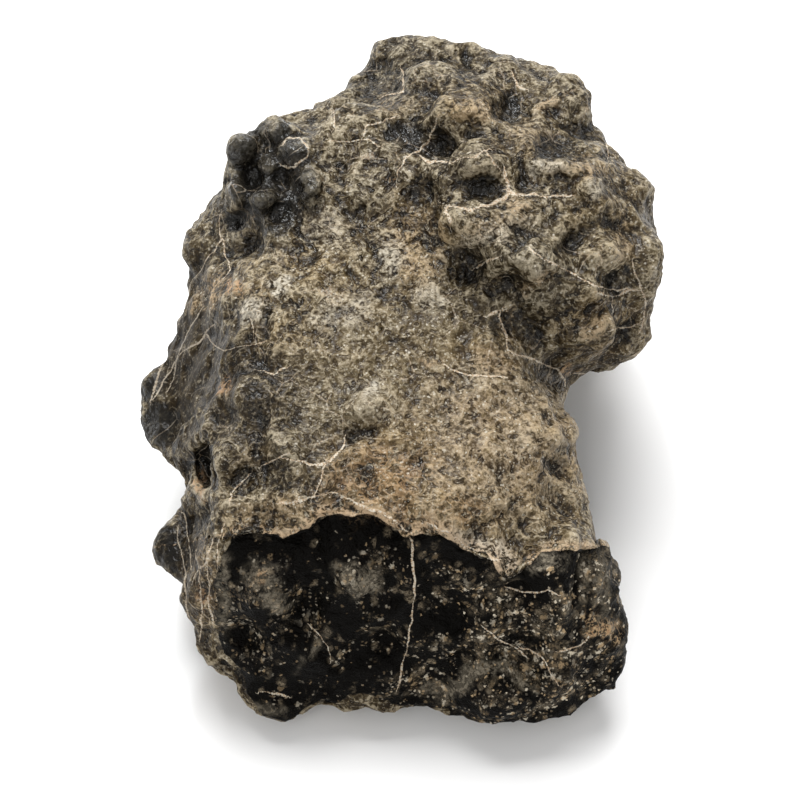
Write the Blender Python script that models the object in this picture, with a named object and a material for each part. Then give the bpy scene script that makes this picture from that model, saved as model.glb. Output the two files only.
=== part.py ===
"""Lunar meteorite: a knobbly desert-weathered stone with a fresh broken front, on a small flat spot.

Lengths are in millimetres here and are turned into metres at the end. +Z is up and the broken front
faces -Y. The origin is on the floor, under the middle of the stone.
"""

import math

import bmesh
import bpy
from mathutils import Matrix, Quaternion, Vector, noise
from mathutils.bvhtree import BVHTree
from mathutils.geometry import intersect_line_line_2d

MM = 0.001

# The view that the stone's forms are laid out on looks along +Y and down by this angle. In it, "across" runs
# right and "up" runs up, and both are measured from the upright axis at this height.
VIEW_DOWN = math.radians(52)
VIEW_HEIGHT = 16.4
FAR_OFF = 200

# Colour and gloss of the weathered skin
SKIN_COLOUR = (0.16, 0.135, 0.098, 1)
SKIN_ROUGHNESS = 0.55

# Fineness of the fused stone at first and last, the rounds that soften it, and its number of faces
VOXEL = 0.8
FINE_VOXEL = 0.6
SOFTENING = 5
LAST_SOFTENING = 1
FACES = 9300

# Knobbly skin: width of its cobbles, how far they stand out, the creases between them, its wide swells,
# and how much it is bent
COBBLE_SIZE = 5.0
COBBLE_HEIGHT = 1.7
COBBLE_LEVEL = 0.55
CREASE_WIDTH = 0.25
SWELL_SIZE = 13.0
SWELL_HEIGHT = 1.3
BEND_SIZE = 7.0
BEND = 3.0
BEND_OFFSETS = (Vector((0, 0, 0)), Vector((31.7, 0, 0)), Vector((0, 47.3, 0)))

# Calmer stretches of the skin: X, Y, Z, radius, and the share of the knobs that is left in the middle
CALM = [
    (0, -6, 28, 19, 0.35), (-21, 2, 15, 12, 0.45), (24, 4, 20, 8, 0.5),
]

# Fresh break: its depth at the floor, its lean back with height, its turn to the right of a line, its two
# ends and how it turns away past them, how it rounds under below a height, and its shallow chips
BREAK_AT = -32.0
BREAK_LEAN = 0.255
BREAK_TURN = 0.11
BREAK_TURNS_AT = -3
BREAK_ENDS = (-16.8, 15.6)
BREAK_END_TURNS = (0.9, 0.65)
BREAK_FOOT = 5.0
BREAK_FOOT_TURN = 0.09
CHIP_SIZE = 6.0
CHIP_DEPTH = 2.2
CHIP_LEVEL = 0.45

# Small flat spot that the stone stands on, how fast the underside rises around it, and its lumps
SPOT_CENTRE = (1.0, -2.0)
SPOT_RADIUS = 11.0
SPOT_SINK = 1.0
UNDERSIDE_RISE = 0.1
UNDERSIDE_LUMPS = 2.6
LUMP_SIZE = 6.5
LUMPS_START = 5.0
LEVEL_WITHIN = 0.08

# Masses that the stone is fused from, as the corners of blocks: across, up, height over the floor
BLOCKS = {
    "front": [
        (-14.3, -35.6, 2), (-9.5, -36.6, 1.5), (-3, -36.4, 1), (8, -36.8, 1.5), (15, -37.0, 3),
        (19, -34, 4.5), (22.2, -30, 6), (22.6, -25.5, 11), (21.4, -22, 15), (-17.8, -29.4, 4),
        (-19.9, -27.2, 7), (-20.8, -22, 12), (-21.2, -17, 15), (-18.8, -18, 22.5), (-8, -17.6, 25.5),
        (3, -18.6, 25.8), (11, -21.5, 24), (18.4, -17.4, 21.6), (20, -20.5, 18.5), (-18, -8, 20),
        (17, -8, 20.5), (-14, -12, 3), (14, -14, 3), (-6, -17, -1.5), (7, -17, -1.5),
    ],
    "table": [
        (-20.8, -13.5, 15), (-19, -13, 22), (16.4, -3.5, 19), (17.8, -13.2, 20), (17.0, -8, 20.5),
        (-8, -13, 25.5), (6, -13.5, 26), (15, -9, 25), (-15, 1, 29.5), (10, 2, 29.5), (-16.5, 9, 29),
        (-13, 17, 32), (5, 19, 34), (10, 12, 32), (-22.6, -8, 10), (-23.4, 0, 12), (-22.2, 6, 15),
        (-21.4, 10, 18), (-15, -12, 1), (-14, 4, 1), (14, -10, 2), (13, 6, 3), (0, 15, 3),
        (-1, -16, -0.5), (3, -4, -1), (-7, -4, -2.5), (8, -14, -2.5), (-7, -16, -2.5), (8, -3, -2.5),
    ],
    "lobe": [
        (3.5, 18, 36), (9, 12.5, 36.5), (15, 8, 33.4), (21, 6.5, 30), (12, 24, 38), (20, 20, 36),
        (4, 29, 36), (-3, 34.4, 29), (6, 34.4, 32), (15.8, 30.8, 32), (19.6, 27.4, 31),
        (25.4, 18.8, 29), (26.2, 12.6, 25), (25.6, 6, 23), (25.2, 3.6, 19), (23.4, 1.3, 18.5),
        (22, 0.5, 13), (17.2, -0.4, 18), (8, 7, 28), (15, 1.5, 25), (18.5, 2.6, 26.5), (22.6, 3.4, 24),
        (13, 3, 4), (20, 6, 7), (20, 16, 8), (10, 20, 5), (-2, 20, 5),
    ],
    "back": [
        (-21.6, 12.5, 19), (-19.2, 18, 22), (-17, 21.5, 27), (-12.8, 25.4, 29), (-6, 28.6, 30),
        (-3, 32, 28), (-8, 18, 34), (0, 22, 35), (-14, 17, 32), (-16, 8, 5), (-10, 17, 5), (0, 20, 5),
        (-14, 2, 3),
    ],
}

# Rounded lumps fused onto the blocks: across, up, height over the floor, then radii along X, Y and Z
BALLS = {
    "left flank": [
        (-19.4, 13.4, 20, 2.8, 3.6, 3.4), (-24.9, -0.9, 13, 1.7, 2.2, 2.0),
        (-24.0, -4.6, 12, 2.4, 3.0, 2.6), (-21.6, -16.9, 10, 3.2, 4.2, 3.4),
    ],
    "knob cluster": [
        (-15.4, 22.0, 29.5, 2.4, 2.4, 2.8), (-12.4, 23.6, 30.5, 2.1, 2.2, 2.6),
        (-10.2, 21.6, 31.8, 2.3, 2.2, 2.3), (-8.8, 18.8, 32.4, 1.9, 2.6, 2.3),
        (-16.6, 18.6, 28.5, 1.6, 2.8, 2.8), (-13.6, 17.8, 31.6, 2.0, 2.0, 2.0),
    ],
    "saddle beside the cluster": [
        (-3, 22, 32, 6, 6, 4), (-1, 19.5, 31.5, 5, 5, 4),
    ],
    "lobe": [
        (18.9, 18.4, 34.6, 2.4, 2.4, 2.0), (24.2, 18.6, 29.0, 2.0, 2.6, 3.0),
        (13.0, 10.8, 34.8, 2.8, 2.4, 2.0), (19.6, 11.4, 32.0, 2.4, 2.4, 2.0),
        (24.4, 9.4, 26.6, 1.8, 2.4, 4.4), (19, 4.2, 26.6, 3.6, 2.6, 2.4),
        (22.6, 3.0, 20.6, 2.8, 2.8, 3.2), (8.0, 15.0, 35.8, 4.6, 2.6, 1.8),
        (17.6, 28.0, 32.6, 2.6, 2.8, 2.2), (8.4, 21.2, 36.6, 3.4, 2.6, 1.8),
        (14.8, 21.2, 36.2, 3.4, 2.4, 1.8), (6.0, 26.6, 36.0, 3.4, 3.0, 2.0),
    ],
    "right edge and foot of the break": [
        (16.0, -5.6, 21, 2.0, 2.4, 2.2), (9.6, -32.0, 3.5, 3.4, 2.2, 3.2),
        (-12.0, -33.0, 2.6, 3.0, 2.0, 2.4),
    ],
    "hidden sides": [
        (22, 18, 12, 3.5, 3.5, 3.0), (8, 20, 12, 4.0, 3.2, 3.5), (-8, 18, 14, 3.6, 3.2, 3.2),
        (-19, 8, 10, 2.8, 3.4, 3.0), (15.2, -14, 8, 3.2, 4.0, 3.4), (2, 27, 19, 3.4, 3.0, 3.4),
        (14, 25, 20, 3.2, 3.0, 2.8), (25, 9, 15, 2.4, 3.2, 3.0), (-18.5, -2, 5, 3, 3.4, 2.6),
        (15, -6, 6, 3, 3.4, 2.8),
    ],
}

# Knobs and ledges (height over zero) and pits (under zero), pressed into the side that the view shows:
# across, up, half length, half width, turn in degrees, height
DETAILS = {
    "knob cluster": [
        (-15.7, 22.9, 1.9, 1.8, 0, 1.0), (-12.5, 24.6, 1.8, 1.2, 0, 0.9),
        (-10.4, 22.6, 2.0, 1.5, -20, 1.1), (-13.0, 21.1, 1.3, 1.2, 0, 1.0),
        (-16.3, 19.2, 2.5, 1.2, 80, 1.0), (-13.8, 17.6, 1.7, 1.6, 0, 1.1),
        (-8.9, 18.6, 2.4, 1.3, 75, 1.0), (-14.9, 19.9, 1.7, 1.3, 0, -1.6),
        (-11.6, 19.6, 1.6, 1.1, 60, -1.5), (-12, 16.2, 1.6, 1.2, 0, -1.3),
        (-16.5, 15.6, 1.5, 1.2, 0, -1.2), (-15.2, 13.0, 2.4, 1.5, 30, -1.4),
    ],
    "top of the lobe": [
        (-2.0, 32.6, 1.8, 1.4, 60, 0.7), (-3.6, 29.4, 2.6, 1.2, 55, -0.9),
        (1.6, 30.2, 2.4, 1.2, 0, 0.7), (3.2, 28.4, 2.6, 0.9, -5, -0.8), (6.3, 31.6, 1.2, 1.6, 0, -0.8),
        (7.2, 28.8, 3.0, 1.1, 5, -0.9), (-0.8, 24.6, 2.6, 1.5, 15, -1.3),
        (2.8, 23.0, 2.0, 1.5, 0, -1.1), (-0.4, 27.4, 2.8, 1.4, 0, 0.7), (4.4, 22.7, 1.9, 1.7, 0, -1.3),
        (7.6, 26.2, 2.6, 1.8, 0, 0.6), (11.4, 26.6, 2.5, 1.7, 0, -1.5), (8.4, 20.8, 3.2, 1.3, -5, 0.6),
        (2.0, 20.6, 2.0, 1.4, 0, 0.7), (8.0, 18.4, 3.6, 1.3, -8, -1.4),
        (12.2, 19.3, 1.3, 1.5, 0, -1.0), (12.6, 23.2, 2.2, 1.6, 30, 0.7),
        (15.4, 23.2, 2.8, 1.3, 15, -1.2), (15.4, 27.3, 2.6, 1.4, -10, 0.6),
        (14.6, 21.0, 3.4, 1.2, 0, 0.5), (18.6, 24.4, 1.8, 1.4, 0, -0.8),
        (17.6, 20.8, 2.0, 1.2, 20, 0.6), (18.8, 18.4, 1.8, 1.7, 0, 0.5),
        (22.4, 19.4, 1.8, 1.6, 0, -0.8), (21.4, 16.8, 2.8, 1.2, -20, 0.7),
        (15.8, 17.2, 2.4, 1.4, 10, 0.6), (16.9, 13.2, 1.7, 1.6, 0, -1.5),
        (18.4, 14.6, 1.4, 1.0, 0, -0.8), (20.2, 11.8, 2.2, 1.6, 0, 0.5),
        (24.6, 13.6, 2.0, 1.2, 60, 0.6), (12.6, 11.0, 2.2, 1.6, 10, 0.6),
        (10.4, 12.8, 4.2, 1.2, 28, 0.7), (5.4, 15.2, 2.4, 1.8, 0, 0.5),
    ],
    "flank of the lobe": [
        (7.4, 10.6, 2.6, 1.8, 20, -1.3), (10.6, 8.6, 2.4, 1.6, 10, -1.3),
        (15.0, 9.2, 2.4, 1.2, 30, -1.2), (14.4, 6.8, 1.8, 1.6, 0, 0.8), (18.0, 8.2, 2.2, 1.8, 0, 0.7),
        (21.8, 9.5, 1.9, 1.7, 0, -1.4), (23.8, 7.6, 3.6, 1.1, 80, 0.7),
        (19.4, 6.4, 3.6, 1.2, 30, -1.1), (18.8, 4.0, 3.6, 1.3, 28, 0.8),
        (22.8, 4.2, 1.6, 1.8, 0, -0.9), (12.0, 4.8, 3.0, 1.6, -20, -0.9),
        (9.4, 5.0, 1.6, 1.6, 0, -1.0), (10.2, 6.8, 1.8, 0.9, 0, 0.6),
    ],
    "table": [
        (-2.4, -2.8, 3.6, 2.4, 10, 0.9), (-4.1, -5.8, 2.8, 1.1, 15, -1.1),
        (-11.8, 9.0, 2.4, 1.8, 0, 0.6), (-14.4, 7.2, 2.2, 1.8, 0, 0.5),
        (-6.4, 9.6, 3.4, 1.2, 35, -0.7), (-2.6, 12.6, 1.2, 3.4, 0, -0.7),
        (3.0, 13.2, 2.2, 1.6, 0, -1.0), (-5.8, 13.6, 2.6, 2.0, 0, 0.5), (-2.0, 6.0, 3.0, 2.2, 0, 0.5),
        (6.4, 3.6, 1.2, 2.4, 0, -0.5), (-8.0, 2.2, 2.6, 1.6, -15, 0.5), (1.6, -1.2, 1.6, 2.0, 0, -0.5),
        (6.4, -3.8, 2.8, 1.8, 0, 0.5), (11.6, -2.0, 3.0, 1.2, -15, -0.5),
        (13.8, -9.6, 2.4, 1.6, 0, -0.5), (9.0, -12.4, 3.2, 1.6, -20, 0.6),
        (3.4, -10.0, 2.2, 1.4, 0, -0.5), (15.5, -9.0, 1.3, 1.0, 0, -0.8),
    ],
    "slope down to the left": [
        (-13.4, 1.8, 2.6, 1.8, -30, -0.6), (-16.2, 3.2, 3.4, 1.1, 40, 0.7),
        (-17.6, -2.4, 2.4, 1.8, 50, 0.7), (-14.6, -4.2, 2.8, 2.0, 0, -0.7),
        (-11.4, -7.8, 2.8, 1.8, 20, 0.6), (-8.0, -10.2, 3.2, 1.4, 0, -0.6),
        (-14.0, -9.6, 3.0, 1.4, 35, -0.9), (-10.2, -12.6, 3.0, 1.2, -8, 0.7),
        (-16.6, -12.6, 2.4, 1.4, 20, 0.7), (-19.0, -5.4, 2.8, 1.3, -60, 0.9),
        (-18.0, -9.0, 3.4, 1.0, -75, 0.8),
    ],
    "broken front": [
        (-4.3, -20.1, 2.4, 2.6, 0, 1.3), (-13.2, -21.0, 2.8, 3.0, 0, 1.4),
        (-9.0, -23.4, 2.0, 3.4, 20, -1.2), (-15.4, -25.2, 2.6, 1.8, -30, -1.1),
        (-8.6, -27.4, 2.2, 2.6, 0, 1.0), (-3.0, -26.4, 2.8, 2.4, 0, -1.1),
        (3.6, -22.4, 2.4, 3.2, 0, -1.0), (8.8, -24.2, 2.4, 2.4, 0, 0.9),
        (12.4, -21.6, 3.0, 1.6, 0, -1.4), (15.6, -22.6, 2.4, 1.6, 0, 0.9),
        (12.0, -27.0, 2.2, 3.0, -20, -1.2), (15.4, -29.6, 2.6, 3.2, 10, 1.1),
        (5.0, -28.8, 3.0, 1.8, 20, -1.0), (20.2, -26.2, 2.4, 1.2, 0, 0.7),
        (20.4, -28.6, 2.0, 1.6, 0, -0.8), (9.6, -31.0, 3.6, 2.4, 0, 1.1),
    ],
}

# How soon a knob or pit reaches its full height
DETAIL_FULLNESS = 1.4

# Cavity at the left edge: where the view shows its middle, how far down the view that lies, and its radii
# across, up and down the view
CAVITY_AT = (-19.4, -8.7)
CAVITY_DEPTH = 1.5
CAVITY_RADII = (1.9, 2.4, 5.0)

# Upper edge of the broken front as the view shows it, from the left: across, up. Then how far from it the
# skin follows, the width of the slices it is found in, and the height over which it is looked for.
RIM = [
    (-18.5, -16.4), (-16.8, -15.7), (-14, -15.4), (-11.5, -16.1), (-9, -15.1), (-7.2, -13.7),
    (-3, -13.7), (-1, -15), (0.5, -16), (4, -15.6), (6, -17.1), (9, -18.1), (10.6, -20), (13, -19.6),
    (16, -18.4), (20, -17.2),
]
RIM_REACH = 7.0
RIM_SLICE = 0.8
RIM_LOWEST = 8.0

# The stone's edge as the view shows it, clockwise from the top: across, up
OUTLINE = [
    (-2.3, 34.4), (1.8, 34.6), (6.8, 33.7), (10.7, 32.4), (14.1, 31.6), (17.8, 30.2), (19.4, 28.4),
    (19.7, 25.5), (21, 23.2), (23.4, 20.7), (25.8, 19.1), (25.0, 16.4), (26.5, 13.3), (25.6, 9.2),
    (25.2, 3.7), (23.2, 0.9), (20.8, 0.4), (16.9, -0.3), (16.5, -3.6), (17.6, -5.6), (17.3, -7.4),
    (18.8, -11.3), (18.8, -15.1), (20.6, -17.9), (22.2, -23.1), (22.8, -27.8), (22.0, -30.8),
    (19, -32.2), (15, -34.6), (7.5, -34.3), (4, -32.9), (-3.2, -33.8), (-8.8, -32.8), (-11, -34.6),
    (-15, -33.2), (-16.2, -30.1), (-20, -27.6), (-20.7, -24.3), (-21.8, -20.2), (-24.6, -17.8),
    (-24.4, -15.8), (-21.2, -13.0), (-21.3, -10.3), (-25.6, -6.8), (-26.3, -4.6), (-25.6, -2.8),
    (-26.4, -0.8), (-24.4, 1.1), (-22.9, 2.6), (-21.1, 9.2), (-21.8, 12.7), (-20, 16.4), (-17.6, 19.4),
    (-17.4, 22.2), (-15.6, 24.0), (-12.6, 25.6), (-9, 27.2), (-5.6, 28.7), (-3.2, 32.3),
]

# The fit to that edge: the middle that stays, the directions it is made in, how far out of it the edge is
# drawn, the most it stretches, where the broad and the close fit start, and how far the broad one averages
OUTLINE_CENTRE = (0.0, -1.0)
OUTLINE_STEPS = 360
OUTLINE_MARGIN = 0.15
MOST_FIT = 0.14
BROAD_FIT_STARTS = 0.45
CLOSE_FIT_STARTS = 0.88
BROAD_STEPS = 5


def view_axes():
    """Across, up and towards the viewer, as directions of the model."""
    across = Vector((1, 0, 0))
    up = Vector((0, math.sin(VIEW_DOWN), math.cos(VIEW_DOWN)))
    return across, up, across.cross(up)


def laid(across, up, height):
    """The point at a place in the view and a height over the floor."""
    away = (up - (height - VIEW_HEIGHT) * math.cos(VIEW_DOWN)) / math.sin(VIEW_DOWN)
    return Vector((across, away, height))


def seen(point):
    """Where the view shows a point: across and up."""
    _, up, _ = view_axes()
    return Vector((point.x, up.dot(point - Vector((0, 0, VIEW_HEIGHT)))))


def smooth_step(value):
    value = min(max(value, 0), 1)
    return value * value * (3 - 2 * value)


def apply_modifiers(obj):
    graph = bpy.context.evaluated_depsgraph_get()
    made = bpy.data.meshes.new_from_object(obj.evaluated_get(graph))
    obj.modifiers.clear()
    obj.data = made


def add_block(built, corners):
    """Adds the rock that fills the space between the corners."""
    block = bmesh.new()
    for corner in corners:
        block.verts.new(laid(*corner))
    bmesh.ops.convex_hull(block, input=block.verts)
    inside = [vertex for vertex in block.verts if not vertex.link_faces]
    bmesh.ops.delete(block, geom=inside, context="VERTS")
    bmesh.ops.recalc_face_normals(block, faces=block.faces)
    mesh = bpy.data.meshes.new("block")
    block.to_mesh(mesh)
    block.free()
    built.from_mesh(mesh)
    bpy.data.meshes.remove(mesh)


def add_ball(built, across, up, height, *radii):
    place = Matrix.LocRotScale(laid(across, up, height), None, Vector(radii))
    bmesh.ops.create_icosphere(built, subdivisions=3, radius=1, matrix=place)


def fuse(stone, voxel, rounds):
    """Makes one even closed skin round everything, and softens it."""
    remesh = stone.modifiers.new("fuse", "REMESH")
    remesh.mode = "VOXEL"
    remesh.voxel_size = voxel
    soften = stone.modifiers.new("soften", "SMOOTH")
    soften.iterations = rounds
    apply_modifiers(stone)


def stone_from_masses():
    """Grows the blocks and the lumps together into one stone."""
    built = bmesh.new()
    for corners in BLOCKS.values():
        add_block(built, corners)
    for balls in BALLS.values():
        for ball in balls:
            add_ball(built, *ball)
    mesh = bpy.data.meshes.new("meteorite")
    built.to_mesh(mesh)
    built.free()
    stone = bpy.data.objects.new("meteorite", mesh)
    bpy.context.scene.collection.objects.link(stone)
    fuse(stone, VOXEL, SOFTENING)
    return stone


def knobbly(point):
    """How far the skin stands out at a point: swells, and bent cobbles with creases between them."""
    bend = Vector([noise.noise(point / BEND_SIZE + offset) for offset in BEND_OFFSETS])
    nearest, _ = noise.voronoi((point + bend * BEND) / COBBLE_SIZE)
    cobble = COBBLE_LEVEL - nearest[0]
    crease = min(nearest[1] - nearest[0], CREASE_WIDTH) - CREASE_WIDTH
    left = 1
    for x, y, z, radius, middle in CALM:
        distance = (point - Vector((x, y, z))).length
        left = min(left, middle + (1 - middle) * smooth_step(distance / radius))
    return SWELL_HEIGHT * noise.noise(point / SWELL_SIZE) + COBBLE_HEIGHT * left * (cobble + crease)


def roughen(stone):
    moved = [vertex.co + vertex.normal * knobbly(vertex.co) for vertex in stone.data.vertices]
    for vertex, place in zip(stone.data.vertices, moved):
        vertex.co = place


def clear_floor(stone):
    """Lifts the underside away from the floor around the flat spot."""
    for vertex in stone.data.vertices:
        beyond = (vertex.co.xy - Vector(SPOT_CENTRE)).length - SPOT_RADIUS
        nearest, _ = noise.voronoi(vertex.co / LUMP_SIZE)
        hollow = UNDERSIDE_LUMPS * nearest[0] * smooth_step(beyond / LUMPS_START)
        lowest = UNDERSIDE_RISE * beyond + hollow if beyond > 0 else -SPOT_SINK
        vertex.co.z = max(vertex.co.z, lowest)


def break_surface(x, z):
    """How far back the fresh break lies, with its shallow chips."""
    turn = BREAK_TURN * max(x - BREAK_TURNS_AT, 0)
    left_end, right_end = BREAK_ENDS
    left_turn, right_turn = BREAK_END_TURNS
    ends = left_turn * max(left_end - x, 0) + right_turn * max(x - right_end, 0)
    foot = BREAK_FOOT_TURN * max(BREAK_FOOT - z, 0) ** 2
    nearest, _ = noise.voronoi(Vector((x, 0, z)) / CHIP_SIZE)
    chip = CHIP_DEPTH * (nearest[0] - CHIP_LEVEL)
    return BREAK_AT + BREAK_LEAN * z - turn + ends + foot + chip


def break_front(stone):
    """Breaks the front off, and gives the numbers of the vertices on the fresh face."""
    broken = []
    for vertex in stone.data.vertices:
        depth = break_surface(vertex.co.x, vertex.co.z)
        if vertex.co.y < depth:
            vertex.co.y = depth
            broken.append(vertex.index)
    return broken


def along_line(line, across):
    """Height of a hand-drawn line at a place across the view."""
    for start, end in zip(line, line[1:]):
        if across <= end[0]:
            share = max((across - start[0]) / (end[0] - start[0]), 0)
            return start[1] + share * (end[1] - start[1])
    return line[-1][1]


def found_rim(stone, broken):
    """The upper edge of the broken face as it came out, as a line of places across and up the view."""
    first = RIM[0][0]
    slices = int((RIM[-1][0] - first) / RIM_SLICE)
    tops = [-math.inf] * slices
    for index in broken:
        across, up = seen(stone.data.vertices[index].co)
        place = int((across - first) / RIM_SLICE)
        if 0 <= place < slices:
            tops[place] = max(tops[place], up)
    line = []
    for place in range(slices):
        near = tops[max(place - 1, 0):place + 2]
        line.append((first + (place + 0.5) * RIM_SLICE, sum(near) / len(near)))
    return line


def fit_rim(stone, broken):
    """Draws the upper edge of the broken face onto RIM."""
    _, up_axis, _ = view_axes()
    found = found_rim(stone, broken)
    for vertex in stone.data.vertices:
        if vertex.co.z < RIM_LOWEST or vertex.co.y > 0:
            continue
        across, up = seen(vertex.co)
        now = along_line(found, across)
        share = smooth_step(1 - abs(up - now) / RIM_REACH)
        vertex.co += up_axis * (along_line(RIM, across) - now) * share


def outline_reach(angle):
    """Distance from the outline's centre to its edge in one direction."""
    centre = Vector(OUTLINE_CENTRE)
    far = centre + Vector((math.cos(angle), math.sin(angle))) * FAR_OFF
    for start, end in zip(OUTLINE, OUTLINE[1:] + OUTLINE[:1]):
        hit = intersect_line_line_2d(centre, far, Vector(start), Vector(end))
        if hit:
            return (hit - centre).length
    return FAR_OFF


def averaged(ring, steps):
    """Every value of a ring of values, averaged with its neighbours on both sides."""
    size = len(ring)
    near = range(-steps, steps + 1)
    return [sum(ring[(at + step) % size] for step in near) / len(near) for at in range(size)]


def fit_outline(stone):
    """Draws the stone's edge, as the view shows it, onto OUTLINE. The middle of the stone stays."""
    across, up, _ = view_axes()
    centre = Vector(OUTLINE_CENTRE)
    reach = [0.0] * OUTLINE_STEPS
    offsets = []
    for vertex in stone.data.vertices:
        offset = seen(vertex.co) - centre
        step = math.floor(math.atan2(offset.y, offset.x) / math.tau * OUTLINE_STEPS) % OUTLINE_STEPS
        offsets.append((step, offset))
        reach[step] = max(reach[step], offset.length)
    ratios = []
    for step in range(OUTLINE_STEPS):
        wanted = outline_reach(math.tau * (step + 0.5) / OUTLINE_STEPS) + OUTLINE_MARGIN
        ratios.append(min(max(wanted / reach[step], 1 - MOST_FIT), 1 + MOST_FIT))
    close = averaged(ratios, 1)
    broad = averaged(ratios, BROAD_STEPS)
    for vertex, (step, offset) in zip(stone.data.vertices, offsets):
        out = offset.length / reach[step]
        broad_share = smooth_step((out - BROAD_FIT_STARTS) / (1 - BROAD_FIT_STARTS))
        close_share = smooth_step((out - CLOSE_FIT_STARTS) / (1 - CLOSE_FIT_STARTS))
        shift = offset * ((broad[step] - 1) * broad_share + (close[step] - broad[step]) * close_share)
        vertex.co += across * shift.x + up * shift.y


def surface_of(stone):
    return BVHTree.FromObject(stone, bpy.context.evaluated_depsgraph_get())


def look_at(surface, across_at, up_at):
    """The point of a surface that the view shows at a place, and its normal."""
    across, up, towards = view_axes()
    start = Vector((0, 0, VIEW_HEIGHT)) + across * across_at + up * up_at + towards * FAR_OFF
    place, normal, _, _ = surface.ray_cast(start, -towards)
    return place, normal


def press(stone, surface, plain_surface, detail):
    """Raises or sinks one rounded patch of the surface that the view shows."""
    across_at, up_at, half_length, half_width, turn, height = detail
    across, up, towards = view_axes()
    place, _ = look_at(surface, across_at, up_at)
    _, plain_normal = look_at(plain_surface, across_at, up_at)
    push = plain_normal or towards
    cosine = math.cos(math.radians(turn))
    sine = math.sin(math.radians(turn))
    for vertex in stone.data.vertices:
        offset = vertex.co - place
        if offset.length > 2 * half_length + abs(height):
            continue
        along = offset.dot(across) * cosine + offset.dot(up) * sine
        beside = offset.dot(up) * cosine - offset.dot(across) * sine
        share = 1 - math.hypot(along / half_length, beside / half_width)
        vertex.co += push * height * smooth_step(DETAIL_FULLNESS * share)


def press_details(stone, plain_surface):
    surface = surface_of(stone)
    for details in DETAILS.values():
        for detail in details:
            press(stone, surface, plain_surface, detail)


def hollow_out(stone):
    """Cuts the cavity at the left edge."""
    _, _, towards = view_axes()
    place, _ = look_at(surface_of(stone), *CAVITY_AT)
    turn = Quaternion((1, 0, 0), math.radians(90) - VIEW_DOWN)
    spread = Matrix.LocRotScale(place - towards * CAVITY_DEPTH, turn, CAVITY_RADII)
    ball = bmesh.new()
    bmesh.ops.create_icosphere(ball, subdivisions=3, radius=1, matrix=spread)
    mesh = bpy.data.meshes.new("cavity")
    ball.to_mesh(mesh)
    ball.free()
    cavity = bpy.data.objects.new("cavity", mesh)
    bpy.context.scene.collection.objects.link(cavity)
    cut = stone.modifiers.new("cavity", "BOOLEAN")
    cut.operation = "DIFFERENCE"
    cut.object = cavity
    apply_modifiers(stone)
    bpy.data.objects.remove(cavity)


def thin_out(stone):
    """Leaves only as many faces as the forms need."""
    triangles = sum(len(face.vertices) - 2 for face in stone.data.polygons)
    thin = stone.modifiers.new("thin out", "DECIMATE")
    thin.ratio = FACES / triangles
    apply_modifiers(stone)


def stand(stone):
    """Presses the flat spot level."""
    for vertex in stone.data.vertices:
        if vertex.co.z < LEVEL_WITHIN:
            vertex.co.z = 0


def centre_over_origin(stone):
    """Moves the stone over the origin, and turns its millimetres into metres."""
    xs = [vertex.co.x for vertex in stone.data.vertices]
    ys = [vertex.co.y for vertex in stone.data.vertices]
    middle = Vector((min(xs) + max(xs), min(ys) + max(ys), 0)) / 2
    stone.data.transform(Matrix.Scale(MM, 4) @ Matrix.Translation(-middle))


def skin_material():
    skin = bpy.data.materials.new("weathered stone")
    skin.use_nodes = True
    shader = skin.node_tree.nodes["Principled BSDF"]
    shader.inputs["Base Color"].default_value = SKIN_COLOUR
    shader.inputs["Roughness"].default_value = SKIN_ROUGHNESS
    shader.inputs["Metallic"].default_value = 0
    return skin


def main():
    for obj in list(bpy.data.objects):
        bpy.data.objects.remove(obj)
    stone = stone_from_masses()
    plain_surface = surface_of(stone)
    roughen(stone)
    clear_floor(stone)
    broken = break_front(stone)
    fit_rim(stone, broken)
    fit_outline(stone)
    press_details(stone, plain_surface)
    fuse(stone, FINE_VOXEL, 0)
    hollow_out(stone)
    fuse(stone, FINE_VOXEL, LAST_SOFTENING)
    stand(stone)
    thin_out(stone)
    stand(stone)
    centre_over_origin(stone)
    stone.data.materials.append(skin_material())
    stone.data.shade_smooth()


main()
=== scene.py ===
import math
import random
from types import SimpleNamespace

import bmesh
import bpy
import numpy as np
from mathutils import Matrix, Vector, noise
from mathutils.bvhtree import BVHTree


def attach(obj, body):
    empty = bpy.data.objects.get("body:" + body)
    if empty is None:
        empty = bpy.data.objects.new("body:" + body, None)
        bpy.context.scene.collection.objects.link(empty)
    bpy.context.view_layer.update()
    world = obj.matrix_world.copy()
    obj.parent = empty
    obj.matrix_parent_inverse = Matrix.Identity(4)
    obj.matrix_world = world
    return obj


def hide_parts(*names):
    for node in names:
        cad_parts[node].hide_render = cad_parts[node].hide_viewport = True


# Lunar meteorite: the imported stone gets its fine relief, its veins and its weathered and broken surfaces.
# Lengths in the lists and dictionaries are millimetres where nothing else is said.

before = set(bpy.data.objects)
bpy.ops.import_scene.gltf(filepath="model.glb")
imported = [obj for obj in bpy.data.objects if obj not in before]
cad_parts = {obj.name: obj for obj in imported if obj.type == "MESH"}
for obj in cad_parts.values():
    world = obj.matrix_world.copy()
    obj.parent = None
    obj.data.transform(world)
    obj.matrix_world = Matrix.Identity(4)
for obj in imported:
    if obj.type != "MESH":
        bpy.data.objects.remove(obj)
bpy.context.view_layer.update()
mm = 0.001


# How the front view shows the stone: places across and up it are in millimetres from the target

view = {
    "down": math.radians(52),
    "target": (0, -1.1, 16.4),
    "distance": 667,
    "lens": 300,
    "sensorWidth": 36,
    "shiftUp": -23 / 800,
    "reach": 10,  # metres
}
acrossAxis = np.array((1, 0, 0))
upAxis = np.array((0, math.sin(view["down"]), math.cos(view["down"])))
towardsAxis = np.cross(acrossAxis, upAxis)


def smoothStep(value, start, end):
    share = np.clip((value - start) / (end - start), 0, 1)
    return share * share * (3 - 2 * share)


# Fine relief of the whole stone

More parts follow.
